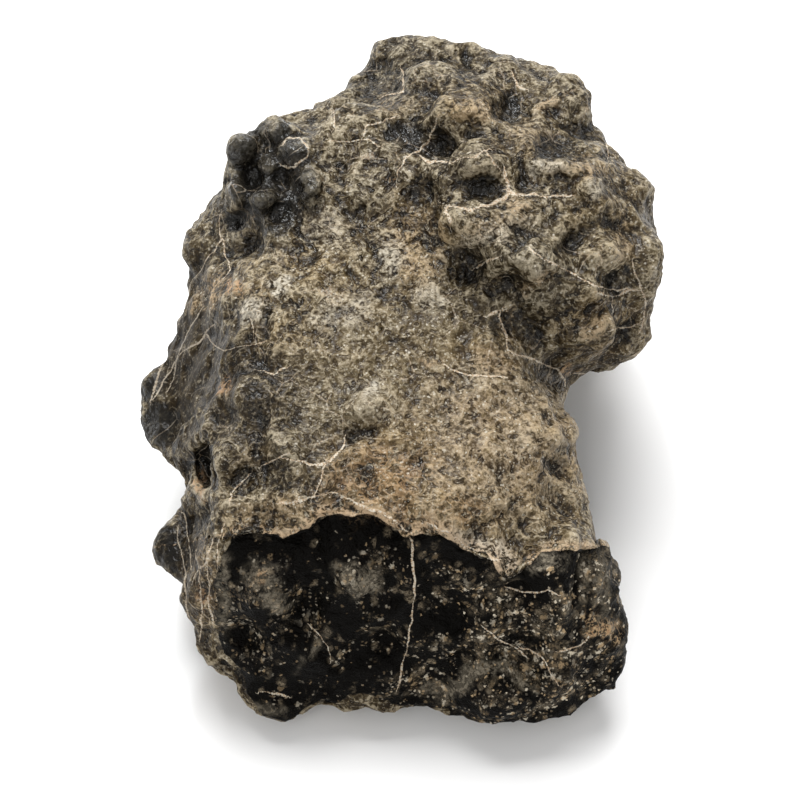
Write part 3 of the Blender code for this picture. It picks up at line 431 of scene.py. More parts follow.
patches = {
    "dust": [
        (14.7, 27.1, 1.4, 0.7, 20, 0.9), (7.8, 26.7, 2.4, 1.4, 0, 0.7), (-0.8, 27.1, 1.8, 1.1, 0, 0.4),
        (17.5, 20.9, 3.8, 0.8, 0, 0.5), (19.0, 20.8, 1.2, 0.8, 0, 0.7), (9.0, 14.9, 4.2, 1.4, 20, 0.4),
        (11.7, 17.1, 1.4, 0.7, 30, 0.9), (19.5, 4.9, 2.2, 1.2, 40, 0.7), (2.7, 1.7, 1.4, 0.5, -5, 0.9),
        (9.5, 1.7, 2.2, 1.6, 0, 0.8), (16.8, 0.6, 0.9, 0.5, 0, 0.8), (-16.7, 8.9, 0.8, 0.6, 0, 0.8),
        (-17.5, -1.1, 0.5, 0.8, 0, 0.6), (-19.4, 8.4, 1.1, 2.5, -38, 1.1),
        (8.5, -17.8, 4.6, 1.5, -15, 1.2), (10.0, -18.2, 3.2, 1.5, -20, 1.5), (10, -7, 9, 8, 0, 0.5),
        (0, -10, 9, 5, -5, 0.25), (-12, -13.6, 5, 1.6, 5, 0.5), (-14.8, -8.5, 2.2, 1.2, 30, 0.3),
        (10.6, -19.3, 1.2, 0.8, 0, 1), (-20.3, -10.8, 0.6, 1.5, 15, 0.9), (13.5, 9.6, 2.4, 0.5, 30, 0.6),
        (10.6, 6.0, 0.7, 1.8, -20, 0.5), (20.5, 2.6, 2.2, 0.6, 15, 0.5),
        (-19.4, -20.5, 1.2, 4.5, 0, 0.35), (22.5, 13.5, 1.0, 2.5, 15, 0.5),
        (1.3, -15.2, 1.3, 0.8, 0, 0.8), (16.3, -4.7, 1.3, 0.7, 0, 0.7), (2.0, 13.0, 2.5, 4.5, 0, 0.5),
        (14.0, -19.0, 4.0, 1.0, 10, 0.6), (12.5, 24.3, 1.6, 2.0, 0, 0.3),
    ],
    "pale": [
        (-12.0, 9.2, 0.9, 0.8, 0, 0.8), (-14.8, 6.6, 1.4, 1.3, 0, 0.7), (-2.7, -1.3, 0.7, 0.6, 0, 0.5),
        (-1.0, 12.2, 1.2, 1.6, 0, 0.5), (-2.5, -2.8, 2.8, 1.8, 0, 0.1), (19.2, 18.7, 1.0, 1.2, 0, 0.4),
        (-19.9, -0.5, 0.5, 0.4, 0, 0.7), (14.3, 20.9, 2.0, 0.7, 0, 0.5), (9.0, 14.0, 3.8, 0.8, 22, 0.3),
        (-5.5, 6.5, 3.0, 1.6, 20, 0.3), (-7.5, 15, 2.4, 2.0, 0, 0.2), (3.0, 7.8, 1.6, 1.6, 0, 0.3),
        (8.4, -17.6, 4.2, 1.5, -20, 0.7), (10, -6, 8, 8, 0, 0.1),
    ],
    # glass: black glassy knobs and patches, and black painted shade laid over the hollows of the forms above
    "glass": [
        (-12.8, 19.6, 4.8, 5.8, 0, 0.9), (-25.3, -1.2, 2, 1.8, 0, 0.85), (-24.4, -4.8, 2.4, 2.4, 0, 1),
        (-15.7, 22.7, 2.1, 2.1, 0, 1), (-12.5, 24.5, 2.2, 1.4, 0, 0.9), (-10.4, 22.5, 1.4, 1.1, 0, 1.3),
        (-14.8, 19.6, 1.9, 1.9, 0, 1.3), (-16.4, 19.2, 0.9, 2.5, 0, 1), (-13.8, 17.7, 1.4, 1.4, 0, 0.9),
        (-8.8, 18.7, 1.0, 2.0, 0, 0.8), (-12.0, 16.7, 1.3, 1.0, 0, 0.9), (-16.5, 15.7, 1.0, 1.2, 0, 0.9),
        (-15.0, 13.2, 1.4, 1.4, 0, 0.7), (11.0, 26.9, 2.2, 1.5, 0, 0.95),
        (-0.8, 24.5, 1.1, 1.3, 0, 0.95), (1.3, 23.9, 1.7, 1.6, 0, 0.8), (4.0, 23.1, 1.4, 1.9, 0, 0.75),
        (8.2, 18.7, 2.3, 1.3, 0, 0.9), (12.2, 19.3, 0.6, 0.7, 0, 0.9), (16.2, 22.9, 2.8, 1.6, 0, 0.6),
        (17.0, 13.2, 1.2, 1.1, 0, 0.7), (21.8, 9.4, 1.5, 1.4, 0, 0.7), (6.5, 32.1, 0.5, 0.8, 0, 0.7),
        (7.0, 30.2, 2.2, 0.8, 0, 0.5), (6.6, 11.0, 3.0, 1.6, -40, 0.4), (12.5, 6.6, 4.4, 2.0, -35, 0.4),
        (9.5, 4.9, 1.0, 1.6, 0, 0.7), (15.6, -8.8, 1.0, 0.7, 0, 0.8), (16.3, -6.6, 1.6, 0.8, 0, 0.6),
        (-4.1, -5.6, 2.3, 0.4, 8, 0.45), (-23.2, -17.1, 1.6, 2.7, 0, 0.8), (-19.9, -8.7, 1.3, 1.9, 0, 1),
        (18.5, 2.6, 2.8, 1.6, 30, 0.4), (9.0, -14.2, 2.6, 1.4, 10, 0.35),
        (15.5, -12.5, 1.8, 2.6, 0, 0.4), (5.0, -5.5, 2.2, 1.4, 30, 0.35),
        (-10.3, -9.0, 4.8, 3.0, 0, 0.35), (-15, -1.3, 4.5, 7, 0, 0.3), (22.8, 4.2, 1.2, 1.2, 0, 0.5),
        (-21.5, 2.5, 3.0, 8, 0, 0.3), (3.5, 17.5, 2.0, 2.6, 30, 0.35), (13.5, 16.0, 2.6, 1.4, -20, 0.35),
        (20.0, 15.0, 2.4, 1.4, -40, 0.35), (-3.0, 20.0, 4.0, 1.4, 10, 0.25),
        (2.0, 29.0, 3.0, 1.6, 0, 0.3),
    ],
    "rust": [
        (-0.8, 19.7, 0.5, 0.4, 0, 0.9), (-16.7, 8.9, 0.9, 0.7, 0, 0.9), (16.8, 0.6, 0.9, 0.5, 0, 0.5),
        (20.3, -25.3, 1.9, 1.2, -15, 1), (-20.0, -22.3, 0.4, 0.9, 0, 0.8),
        (-20.3, -10.8, 0.6, 1.5, 15, 1), (-10.8, 21.0, 0.5, 0.4, 0, 0.8),
        (-17.5, -1.1, 0.6, 0.8, 0, 0.8), (-13.7, -20.0, 0.5, 0.5, 0, 0.5),
        (-2.5, -10.4, 5.5, 3.0, 10, 0.4), (5.0, -13.5, 4.0, 1.6, 0, 0.25),
        (1.0, -14.0, 4.0, 1.2, 0, 0.3),
    ],
    "amber": [
        (9, -8, 11, 9, 0, 0.8), (0, -10, 9, 5, 0, 0.9), (2, 13, 3.5, 6, 0, 0.6), (9, 1.5, 5, 3, 0, 0.7),
        (7, 27, 5, 2.5, 0, 0.6), (20, 5, 5, 4, 0, 0.6), (20, 17, 4, 6, 0, 0.4), (-10, 9, 7, 8, 0, 0.5),
        (-1, 4, 6, 5, 0, 0.25), (9, -17, 5, 2.5, -15, 0.5), (-11, -14, 6, 2, 0, 0.7),
        (-20, -22, 2, 5, 0, 0.5), (11, 23, 5, 4, 0, 0.3),
    ],
    "grey": [
        (-21, 4, 5, 11, 0, 0.45), (-13, 19, 6, 7, 0, 0.8), (-23.2, -17.1, 2.2, 3, 0, 0.4),
        (-9, -9, 7, 4, 0, 0.4), (18, 3, 6, 4, 20, 0.5), (14, 10, 6, 5, 0, 0.5), (2, 21, 10, 4, 0, 0.4),
        (-2, 31, 5, 4, 0, 0.6), (-4, 7, 7, 6, 0, 0.2),
    ],
    # dim: a darker tone of the stone, and painted shade on the flanks that turn away from the light, such as
    # the lower flank of the right lobe
    "dim": [
        (-22, 1, 7, 14, 0, 0.9), (-15.5, -1, 6, 9, 0, 0.8), (-13.5, 18.5, 6, 7, 0, 0.8),
        (-10, -9, 8, 4, 0, 0.5), (2, 30, 11, 5, 0, 0.65), (12, 20, 13, 9, 0, 0.45),
        (11, 8, 8, 4.5, -35, 0.7), (19, 3, 6, 5, 20, 0.55), (22, 12, 5, 11, 0, 0.3),
        (-22, -20, 5, 10, 0, 1), (-2, 18, 8, 5, 0, 0.35), (-15.5, -30, 4, 5, 30, 0.7),
        (-4, -32.5, 11, 2.2, 0, 0.6), (-12.4, -34.2, 3.6, 1.8, 0, 1.2), (15.5, 23, 4.5, 2, 0, 0.9),
        (7, 20.5, 4.5, 2.2, 10, 0.8), (11, 10.5, 7, 3, 30, 0.7), (18, 29, 3, 3.5, 0, 0.7),
        (2.5, 24, 4.5, 2.2, 0, 0.8), (20, 6, 4, 4, 0, 0.4),
    ],
    "smooth": [
        (-21.8, 3.5, 3.6, 11, 0, 1), (-18.5, 1.5, 3.0, 8, 15, 0.7), (-22.5, -19, 3.5, 8, 0, 0.6),
        (18.5, 2.2, 4.5, 2.2, 20, 0.7), (-13.8, 20, 4, 5, 0, 0.4), (25, 12, 2.5, 12, 0, 0.5),
    ],
    # film: grey streaks, and painted highlights on the lit upper edges of lumps, such as the arc over the
    # boss at the bottom
    "film": [
        (5.9, -30.9, 2.2, 0.7, 48, 1.2), (8.6, -29.2, 1.8, 0.6, 12, 1.3),
        (11.6, -30.0, 1.8, 0.6, -35, 1.1), (14.2, -18.9, 2.2, 0.8, 12, 1),
        (18.3, -20.6, 0.5, 2.8, 0, 0.8), (-13.2, -33.2, 2.0, 0.6, -10, 0.7),
        (-17.6, -21.5, 0.7, 3.5, 0, 0.8), (-8.6, -27.6, 2.4, 0.6, 50, 0.6),
        (3.4, -31.2, 2.0, 0.6, 15, 0.6), (-5.2, -19.6, 1.5, 1.0, -25, 0.9),
        (-3.4, -20.9, 1.5, 1.1, 30, 1.1), (-3.0, -19.4, 0.9, 0.8, 0, 0.8),
        (-13.8, -20.2, 1.4, 1.6, 20, 0.6), (-12.5, -22.3, 1.5, 1.0, -20, 0.8),
        (20.4, -21.5, 1.0, 4.0, 8, 0.5),
    ],
    "clasts": [
        (-4.3, -20.2, 2.1, 1.8, 0, 0.6), (-13.2, -21.0, 2.2, 2.5, 0, 0.4),
        (-12.6, -22.9, 1.2, 0.6, 20, 1), (-7.3, -22.0, 0.4, 0.4, 0, 1), (-6.7, -28.5, 0.6, 0.6, 0, 1),
        (-8.4, -30.9, 0.5, 0.5, 0, 1), (-16.8, -26.4, 0.5, 0.3, 60, 1), (-15.0, -27.7, 1.3, 0.4, -35, 1),
        (4.3, -21.9, 0.5, 0.5, 0, 1), (5.2, -20.6, 0.7, 0.7, 0, 0.8), (7.0, -25.8, 0.7, 0.7, 0, 1),
        (13.8, -25.5, 0.7, 0.7, 0, 1), (17.0, -22.4, 1.1, 0.6, 10, 1), (15.0, -26.3, 0.6, 0.6, 0, 1),
        (16.8, -26.3, 0.6, 0.6, 0, 1), (11.0, -23.8, 1.4, 2.0, 0, 0.8), (14.8, -31.2, 1.6, 2.0, 20, 0.9),
        (19.8, -20.4, 1.2, 2.6, 15, 0.8), (9.5, -29.8, 3.8, 0.9, 0, 0.6), (8.8, -26.9, 1.0, 0.8, 0, 0.8),
        (4.8, -28.0, 0.8, 0.8, 0, 0.7), (14.5, -24.0, 4.5, 2.6, 0, 0.5),
        (13.0, -28.0, 4.5, 2.4, 0, 0.45), (17.5, -29.0, 3.5, 2.5, 0, 0.5),
        (20.3, -25.3, 1.9, 1.3, 0, 0.8), (-8.5, -26.5, 2.0, 3.0, 0, 0.3), (2.6, -21.5, 3.0, 2.0, 0, 0.3),
    ],
}


def naturalLine(line, seed):
    # the line with small kinks between its points
    chance = random.Random(seed)
    wander = veins["wander"]
    for _ in range(2):
        longer = [line[0]]
        for start, end in zip(line, line[1:]):
            length = math.dist(start, end)
            shift = chance.uniform(-wander, wander) * min(length, 2)
            middleX = (start[0] + end[0]) / 2 - (end[1] - start[1]) / length * shift
            middleY = (start[1] + end[1]) / 2 + (end[0] - start[0]) / length * shift
            longer += [(middleX, middleY), end]
        line = longer
    return line


def groupsOfVeins():
    # shares the veins out so that the veins of one group keep clear of each other
    lines = [vein for part in veins.values() if isinstance(part, list) for vein in part]
    groups = [[] for _ in range(veins["groups"])]
    for seed, (width, line) in enumerate(lines):
        line = naturalLine(line, seed)
        room = []
        for group in groups:
            gaps = [math.dist(a, b) for _, other in group for a in line for b in other]
            room.append(min(gaps, default=math.inf))
        free = [at for at, gap in enumerate(room) if gap > 2 * veins["reach"]]
        groups[free[0] if free else room.index(max(room))].append((width, line))
    return groups


def veinMarks(across, up, seen, group):
    # signed distance to the nearest vein in half widths, and how near it is
    nearest = np.full(len(across), 9.0)
    for width, line in group:
        distance = toLine(across, up, line) * veins["halfWidth"] / width
        nearest = np.where(np.abs(distance) < np.abs(nearest), distance, nearest)
    gate = smoothStep(np.abs(nearest), veins["reach"], 0.35) * smoothStep(seen, 0.3, 0.7)
    return np.stack([np.clip(nearest, -2, 2), gate, np.zeros(len(across))], 1)


def patchMarks(across, up, shown, kind):
    found = np.zeros(len(across))
    for acrossAt, upAt, halfLength, halfWidth, turn, strength in patches[kind]:
        cosine, sine = math.cos(math.radians(turn)), math.sin(math.radians(turn))
        dx, dy = across - acrossAt, up - upAt
        out = np.hypot((dx * cosine + dy * sine) / halfLength, (dy * cosine - dx * sine) / halfWidth)
        found = np.maximum(found, strength * smoothStep(out, 1.45, 0.5))
    return found * shown


def store(mesh, name, values):
    kind = "FLOAT_VECTOR" if values.ndim == 2 else "FLOAT"
    made = mesh.attributes.new(name, kind, "POINT")
    made.data.foreach_set("vector" if values.ndim == 2 else "value", values.ravel())


# How the marks are spread over the stone

marks = {
    "normalRounds": 10,
    "wideRounds": 14,
    "closeRounds": 3,
    "patchWarp": 0.7,
    "edgeWarp": 0.25,
    # size, amount, shifts of its three noises
    "swirls": [(2.8, 0.4, (0, 13, 29)), (1.1, 0.12, (3, 19, 37))],
    # size, start, end, shift
    "cracks": (4, 0.0, 0.35, 83),
    "hidden": {
        "hiddenDust": (7, 0.1, 0.6, 3),
        "hiddenGlass": (6, 0.25, 0.5, 23),
        "hiddenGrey": (7, -0.1, 0.5, 71),
        "hiddenDim": (9, -0.2, 0.6, 77),
        "hiddenAmber": (8, 0.0, 0.6, 87),
    },
}


def swirledPlaces(points):
    # places that are pulled about, so that the patterns look stirred
    swirled = points
    for size, amount, shifts in marks["swirls"]:
        pull = np.stack([noiseOver(swirled, size, shift) for shift in shifts], 1)
        swirled = swirled + pull * amount
    return swirled


def standingOut(points, edges, smoothNormals, rounds):
    # how far every point stands out of its surroundings
    return np.einsum("ij,ij->i", points - smoothed(points, edges, rounds), smoothNormals)


print("stone: marks")
points, edges, normals, smoothNormals, across, up = measured(stone, marks["normalRounds"])
seen = spread(seenInView(points, normals, stone.data), edges, 2)
shown = smoothStep(seen, 0.2, 0.8)
warpX = noiseOver(points, 1.0) + noiseOver(points, 2.2, 5)
warpY = noiseOver(points, 1.0, 41) + noiseOver(points, 2.2, 17)
edgeWarp, patchWarp = marks["edgeWarp"], marks["patchWarp"]
fresh = freshness(across + edgeWarp * warpX, up + edgeWarp * warpY, smoothNormals, shown)
values = {
    "fresh": fresh,
    "shown": shown,
    "flatter": flatSlope(across, up, fresh, shown),
    "standing": standingOut(points, edges, smoothNormals, marks["wideRounds"]),
    "closeStanding": standingOut(points, edges, smoothNormals, marks["closeRounds"]),
    "toRim": np.clip(toLine(across, up, breakOutline[:rimPoints]), -3, 3),
    "speckle": smoothStep(across, -4, 12) - 0.5,
    "dull": smoothStep(smoothNormals[:, 2], 0.6, 0.15),
    "wide": noiseOver(points, 4.5, 61) + 0.5 * noiseOver(points, 2.0, 67),
    "crackPatch": patchesOver(points, *marks["cracks"]),
    "swirled": swirledPlaces(points),
}
for kind in patches:
    values[kind] = patchMarks(across + patchWarp * warpX, up + patchWarp * warpY, shown, kind)
for kind, settings in marks["hidden"].items():
    values[kind] = patchesOver(points, *settings) * (1 - shown)
for number, group in enumerate(groupsOfVeins()):
    values[f"veins{number}"] = veinMarks(across, up, seen, group)
for name, found in values.items():
    store(stone.data, name, found)


# Shader maths as plain expressions

class Wire:
    # one output socket
    tree = None

    def __init__(self, socket):
        self.socket = socket

    @classmethod
    def add(cls, kind, settings=None, sockets=None, output=0):
        # any node: its settings first, then the values or links of its sockets
        made = cls.tree.nodes.new(kind)
        for name, value in (settings or {}).items():
            if name == "stops":
                cls.setStops(made.color_ramp, value)
            else:
                setattr(made, name, value)
        for name, value in (sockets or {}).items():
            if isinstance(value, Wire):
                cls.tree.links.new(value.socket, made.inputs[name])
            else:
                made.inputs[name].default_value = value
        return cls(made.outputs[output]) if made.outputs else None

    @staticmethod
    def setStops(ramp, stops):
        while len(ramp.elements) < len(stops):
            ramp.elements.new(1)
        for element, (place, colour) in zip(ramp.elements, stops):
            element.position = place
            element.color = (*colour, 1)

    @classmethod
    def maths(cls, operation, *values):
        return cls.add("ShaderNodeMath", {"operation": operation}, dict(enumerate(values)))

    def __add__(self, other):
        return Wire.maths("ADD", self, other)

    def __radd__(self, other):
        return Wire.maths("ADD", other, self)

    def __sub__(self, other):
        return Wire.maths("SUBTRACT", self, other)

    def __rsub__(self, other):
        return Wire.maths("SUBTRACT", other, self)

    def __mul__(self, other):
        return Wire.maths("MULTIPLY", self, other)

    def __rmul__(self, other):
        return Wire.maths("MULTIPLY", other, self)

    def __abs__(self):
        return Wire.maths("ABSOLUTE", self)

    def other(self, number):
        # another output of the same node
        return Wire(self.socket.node.outputs[number])


def step(value, start, end):
    # 0 before start, 1 past end, and smooth between them; start may be the larger
    if start > end:
        return 1 - step(value, end, start)
    sockets = {"Value": value, "From Min": start, "From Max": end}
    return Wire.add("ShaderNodeMapRange", {"interpolation_type": "SMOOTHSTEP"}, sockets)


def most(one, other):
    return Wire.maths("MAXIMUM", one, other)


def blendColour(share, under, over, way="MIX"):
    settings = {"data_type": "RGBA", "blend_type": way, "clamp_factor": True}
    under = (*under, 1) if isinstance(under, tuple) else under
    over = (*over, 1) if isinstance(over, tuple) else over
    return Wire.add("ShaderNodeMix", settings, {0: share, 6: under, 7: over}, 2)


def tinted(share, colour, tint):
    return blendColour(share, colour, blendColour(1, colour, tint, "MULTIPLY"))


def blendValue(share, under, over):
    return Wire.add("ShaderNodeMix", {"data_type": "FLOAT"}, {0: share, 2: under, 3: over})


def noiseAt(place, size, detail, rough):
    sockets = {"Vector": place, "Scale": 1 / size, "Detail": detail, "Roughness": rough}
    return Wire.add("ShaderNodeTexNoise", {}, sockets)


def cellsAt(place, size, feature="F1"):
    return Wire.add("ShaderNodeTexVoronoi", {"feature": feature}, {"Vector": place, "Scale": 1 / size})


def coloursOf(cells):
    # red of every cell's random colour; its other outputs are green and blue
    return Wire.add("ShaderNodeSeparateColor", {}, {0: cells.other(1)})


def markOf(name, output="Fac"):
    return Wire.add("ShaderNodeAttribute", {"attribute_name": name}, {}, output)


# Noises are size, detail, roughness; the first three follow the swirled places
textures = {
    "blotch": (1.3, 5, 0.66),
    "worm": (0.85, 1, 0.5),
    "fold": (1.9, 1, 0.5),
    "grain": (0.2, 1, 0.6),
    "lumps": (3.4, 2, 0.55),
    "fleck": (0.42, 2, 0.7),
    "chipSize": 0.5,
    "crackSize": 3.6,
    "clotSize": 1.15,
    "bumpDepth": 0.0008,  # metres
    "bumpStrength": 0.85,
}


def sharedTextures():
    # the noises and marks that the finishes share
    look = SimpleNamespace()
    look.swirled = markOf("swirled", "Vector")
    place = Wire.add("ShaderNodeTexCoord", output="Object")
    place = Wire.add("ShaderNodeVectorMath", {"operation": "SCALE"}, {0: place, "Scale": 1 / mm})
    for name in ("blotch", "worm", "fold"):
        setattr(look, name, noiseAt(look.swirled, *textures[name]))
    for name in ("grain", "lumps", "fleck"):
        setattr(look, name, noiseAt(place, *textures[name]))
    look.blotchShift = look.blotch - 0.5
    look.grainShift = look.grain - 0.5
    look.wide = markOf("wide")
    look.smooth = markOf("smooth")
    look.shown = markOf("shown")
    look.toRim = markOf("toRim")
    look.pale = markOf("pale")
    look.flatter = markOf("flatter")
    look.speckle = markOf("speckle")
    # darker tone, and painted shade on the flanks turned from the light
    look.dim = most(markOf("dim"), markOf("hiddenDim"))
    look.fresh = step(markOf("fresh") + look.blotchShift * 0.5, -0.04, 0.04)
    look.rimBand = step(look.toRim, -0.5, -0.1) * step(look.toRim + look.wide * 0.7, 1.5, 0.2) * look.shown
    look.ridges = step(abs(look.worm - 0.5), 0.07, 0.0)
    look.creases = step(abs(look.worm - 0.37), 0.07, 0.0)
    look.crinkle = abs(look.fold - 0.5) * 1.6 + abs(look.worm - 0.5) * 0.8
    look.calm = 1 - most(look.flatter * 0.3, look.smooth * 0.5)
    look.rusty = markOf("rust") * step(look.blotch + look.ridges * 0.25 + look.grainShift * 0.5, 0.48, 0.66)
    return look


# Weathered skin: "levels" says how light each of its four colours is

weathered = {
    "deep": (0.006, 0.004, 0.002),
    "brown": (0.038, 0.025, 0.011),
    "olive": (0.105, 0.08, 0.043),
    "light": (0.285, 0.24, 0.165),
    "levels": [(0.34, "deep"), (0.45, "brown"), (0.56, "olive"), (0.72, "light")],
    "middle": 0.51,
    "greyer": (0.82, 0.87, 0.95),
    "amber": (1.08, 0.92, 0.66),
    "dimAndShadeTint": (0.24, 0.22, 0.20),
    "dust": (0.33, 0.235, 0.14),
    "pale": (0.50, 0.46, 0.38),
    "rim": (0.37, 0.26, 0.16),
    "rust": (0.36, 0.215, 0.11),
    # black of the glassy patches, also used as painted shade in the hollows
    "glass": (0.0065, 0.006, 0.0052),
    "fleck": (0.38, 0.33, 0.24),
    "vein": (0.42, 0.30, 0.19),
    "paleLine": (0.21, 0.18, 0.14),
    "specular": 0.28,
}


def skinLevel(look, standing, close):
    # how light the skin is: blotches, with thin curling ridges over them; painted shade darkens the hollows
    # of the relief and the low parts of the fine bumps, and painted light brightens what stands out
    middle = weathered["middle"]
    level = look.blotchShift * 0.55 + middle + look.wide * 0.09 + look.grainShift * 0.25
    # painted shade in the hollows and painted light on what stands out
    level = level + close + standing * 0.2
    # painted light on the crests and painted shade in the creases of the fine bumps
    level = level + look.ridges * 0.1 - look.creases * 0.1 + 0.06 - look.crinkle * 0.25 - look.dim * 0.045
    return middle + (level - middle) * look.calm - look.smooth * 0.045


def darkGlassAndHollowShade(look, covered, hollows):
    # the marked patches, black glass and black painted shade laid over the hollows of the forms, and the
    # hollows of the relief, also painted black as shade, where nothing pale covers them
    dark = most(markOf("glass"), markOf("hiddenGlass") * 0.8)
    dark = step(dark - look.blotchShift * 1.3 - look.wide * 0.12, 0.25, 0.95)
    return most(dark, hollows * 0.6) * (1 - most(covered, look.rimBand) * 0.85)


def weatheredColour(look):
    standing, close = markOf("standing"), markOf("closeStanding")
    level = skinLevel(look, standing, close)
    covered = most(look.pale, markOf("dust"))
    look.dark = darkGlassAndHollowShade(look, covered, step(standing + close, 0.0, -0.35))
    # painted shade and darker tone: these patches darken the skin, less on its lighter high spots
    look.dimmed = look.dim * 0.85 * (1 - covered * 0.8) * (1 - step(level, 0.53, 0.65) * 0.75)
    look.dusty = most(markOf("dust"), markOf("hiddenDust") * 0.5) * step(level, 0.38, 0.62)
    look.dusty = look.dusty * step(look.fleck, 0.38, 0.54)

    stops = [(at, weathered[name]) for at, name in weathered["levels"]]
    skin = Wire.add("ShaderNodeValToRGB", {"stops": stops}, {"Fac": level})
    tint = step(look.lumps, 0.4, 0.6)
    greyPlaces = most(markOf("grey"), markOf("hiddenGrey"))
    amberPlaces = most(markOf("amber"), markOf("hiddenAmber"))
    skin = tinted(greyPlaces * (1 - tint * 0.6), skin, weathered["greyer"])
    skin = tinted(amberPlaces * (0.4 + tint * 0.6), skin, weathered["amber"])
    skin = blendColour(step(look.fleck, 0.48, 0.37) * (0.66 - look.flatter * 0.26), skin, weathered["brown"])
    skin = blendColour(step(look.fleck, 0.55, 0.64) * 0.55, skin, weathered["fleck"])
    skin = blendColour(look.dusty * 0.8, skin, weathered["dust"])
    grains = look.pale * step(level, 0.38, 0.56) * step(look.fleck, 0.36, 0.5)
    skin = blendColour(grains * 0.9, skin, weathered["pale"])
    chips = step(cellsAt(look.swirled, textures["chipSize"]) - look.blotchShift, 0.2, 0.08)
    skin = blendColour(chips * 0.6, skin, weathered["pale"])
    skin = blendColour(look.rusty * 0.85, skin, weathered["rust"])
    # the painted shade and darker tone of the dim patches
    skin = tinted(look.dimmed, skin, weathered["dimAndShadeTint"])
    # black glass, and painted shade in the hollows
    skin = blendColour(look.dark * 0.9, skin, weathered["glass"])
    rim = look.rimBand * step(level, 0.4, 0.58) * step(look.fleck, 0.36, 0.5)
    return blendColour(rim * 0.75, skin, weathered["rim"])


def veinLines(look):
    # share and colour of the veins: laid out ones, and a fine network with gaps in it
    waver = (look.worm - 0.5) * 0.3 + look.grainShift * 0.12
    wider = step(look.wide * 0.5 + look.blotch * 2 + look.grain, 0.9, 2.2)
    width = veins["halfWidth"] * (0.2 + wider * 1.1)
    laidOut = None
    for number in range(veins["groups"]):
        mark = Wire.add("ShaderNodeSeparateXYZ", {}, {0: markOf(f"veins{number}", "Vector")})
        line = step(abs(mark + waver) - width, 0.04, -0.04) * step(mark.other(1), 0.2, 0.5)
        laidOut = line if laidOut is None else most(laidOut, line)
    cracks = cellsAt(look.swirled, textures["crackSize"], "DISTANCE_TO_EDGE")
    network = step(cracks, 0.022, 0.004) * markOf("crackPatch") * blendValue(look.shown, 0.35, 0.4)
    lines = most(laidOut, network * (1 - look.fresh))
    lines = lines * step(look.grain + (look.fleck - 0.5) * 0.8, 0.15, 0.5)
    colour = blendColour(step(look.grain, 0.4, 0.65), weathered["vein"], weathered["pale"])
    # the veins take on the darker tone and the painted shade too
    colour = blendColour(look.dimmed * 0.35, colour, weathered["olive"])
    return lines, blendColour(look.smooth * 0.85, colour, weathered["paleLine"])


# Fresh broken face: black, with cloudy clots, grey films with painted highlights on the upper edges of its
# lumps, and scattered specks

broken = {
    "matrix": (0.0016, 0.0012, 0.0007),
    "cloud": (0.19, 0.152, 0.102),
    "film": (0.18, 0.155, 0.115),
    "speck": (0.62, 0.55, 0.43),
    "tan": (0.42, 0.30, 0.17),
    "specks": [(0.4, 0.66), (0.9, 0.76)],  # size, share that stays dark
    "specular": 0.05,
}


def cloudyClots(look, gather):
    clots = cellsAt(look.swirled, textures["clotSize"])
    pick = coloursOf(clots)
    clot = step(clots + look.blotchShift * 0.7 + look.grainShift * 0.7, 0.52, 0.26)
    clot = clot * step(pick + gather * 0.8, 0.6, 0.7)
    clot = clot * (0.1 + pick.other(2) * 0.9) * (0.2 + step(look.grain, 0.35, 0.65) * 0.8)
    return most(clot, step(look.blotch + gather * 0.3, 0.56, 0.8) * step(look.grain, 0.4, 0.65) * 0.4)


def scatteredSpecks(look, gather):
    # fewer specks just under the overhanging rim: painted shade below its lip
    crowd = gather * 0.7 - step(look.toRim, -2.6, -0.4) * 0.3
    specks = None
    for size, chance in broken["specks"]:
        cells = cellsAt(look.swirled, size)
        pick = coloursOf(cells)
        shade = pick.other(1)
        speck = step(cells + look.grainShift * 0.9, 0.48, 0.25) * step(pick + crowd, chance, chance + 0.1)
        speck = speck * (0.1 + shade * shade * 0.9) * (0.8 + look.speckle * 0.4)
        specks = speck if specks is None else most(specks, speck)
    return specks


def brokenColour(look):
    gather = (look.lumps - 0.5) * 2.8 + look.wide * 0.15 + look.speckle * 0.25 + markOf("clasts") * 0.55
    colour = blendColour(cloudyClots(look, gather), broken["matrix"], broken["cloud"])
    streaks = step(look.blotch + look.grainShift * 0.35 - look.crinkle * 0.5, 0.2, 0.42)
    streaks = streaks * (0.35 + step(look.fleck, 0.42, 0.6) * 0.65)
    # grey films, and painted highlights on the upper edges of the lumps
    colour = blendColour(markOf("film") * streaks, colour, broken["film"])
    speckColour = blendColour(step(look.worm, 0.4, 0.6), broken["speck"], broken["tan"])
    colour = blendColour(scatteredSpecks(look, gather), colour, speckColour)
    rustColour = blendColour(step(look.grain, 0.4, 0.6), weathered["rust"], broken["tan"])
    return blendColour(look.rusty * step(look.fleck, 0.36, 0.52), colour, rustColour)


def fineBumps(look):
    # grain that is finer than the mesh
    onSkin = look.grain * 0.12 - look.crinkle * 1.2 - look.creases * 0.1
    onSkin = onSkin * (1 - look.smooth * 0.75) * look.calm
    onBreak = look.grain * 0.3 - look.crinkle * 0.6
    height = blendValue(step(markOf("fresh"), -0.05, 0.05), onSkin, onBreak)
    depth, strength = textures["bumpDepth"], textures["bumpStrength"]
    return Wire.add("ShaderNodeBump", {}, {"Height": height, "Distance": depth, "Strength": strength})


def principled(colour, rough, normal, specular):
    return Wire.add("ShaderNodeBsdfPrincipled", {}, {
        "Base Color": colour, "Roughness": rough, "Normal": normal, "Specular IOR Level": specular,
    })


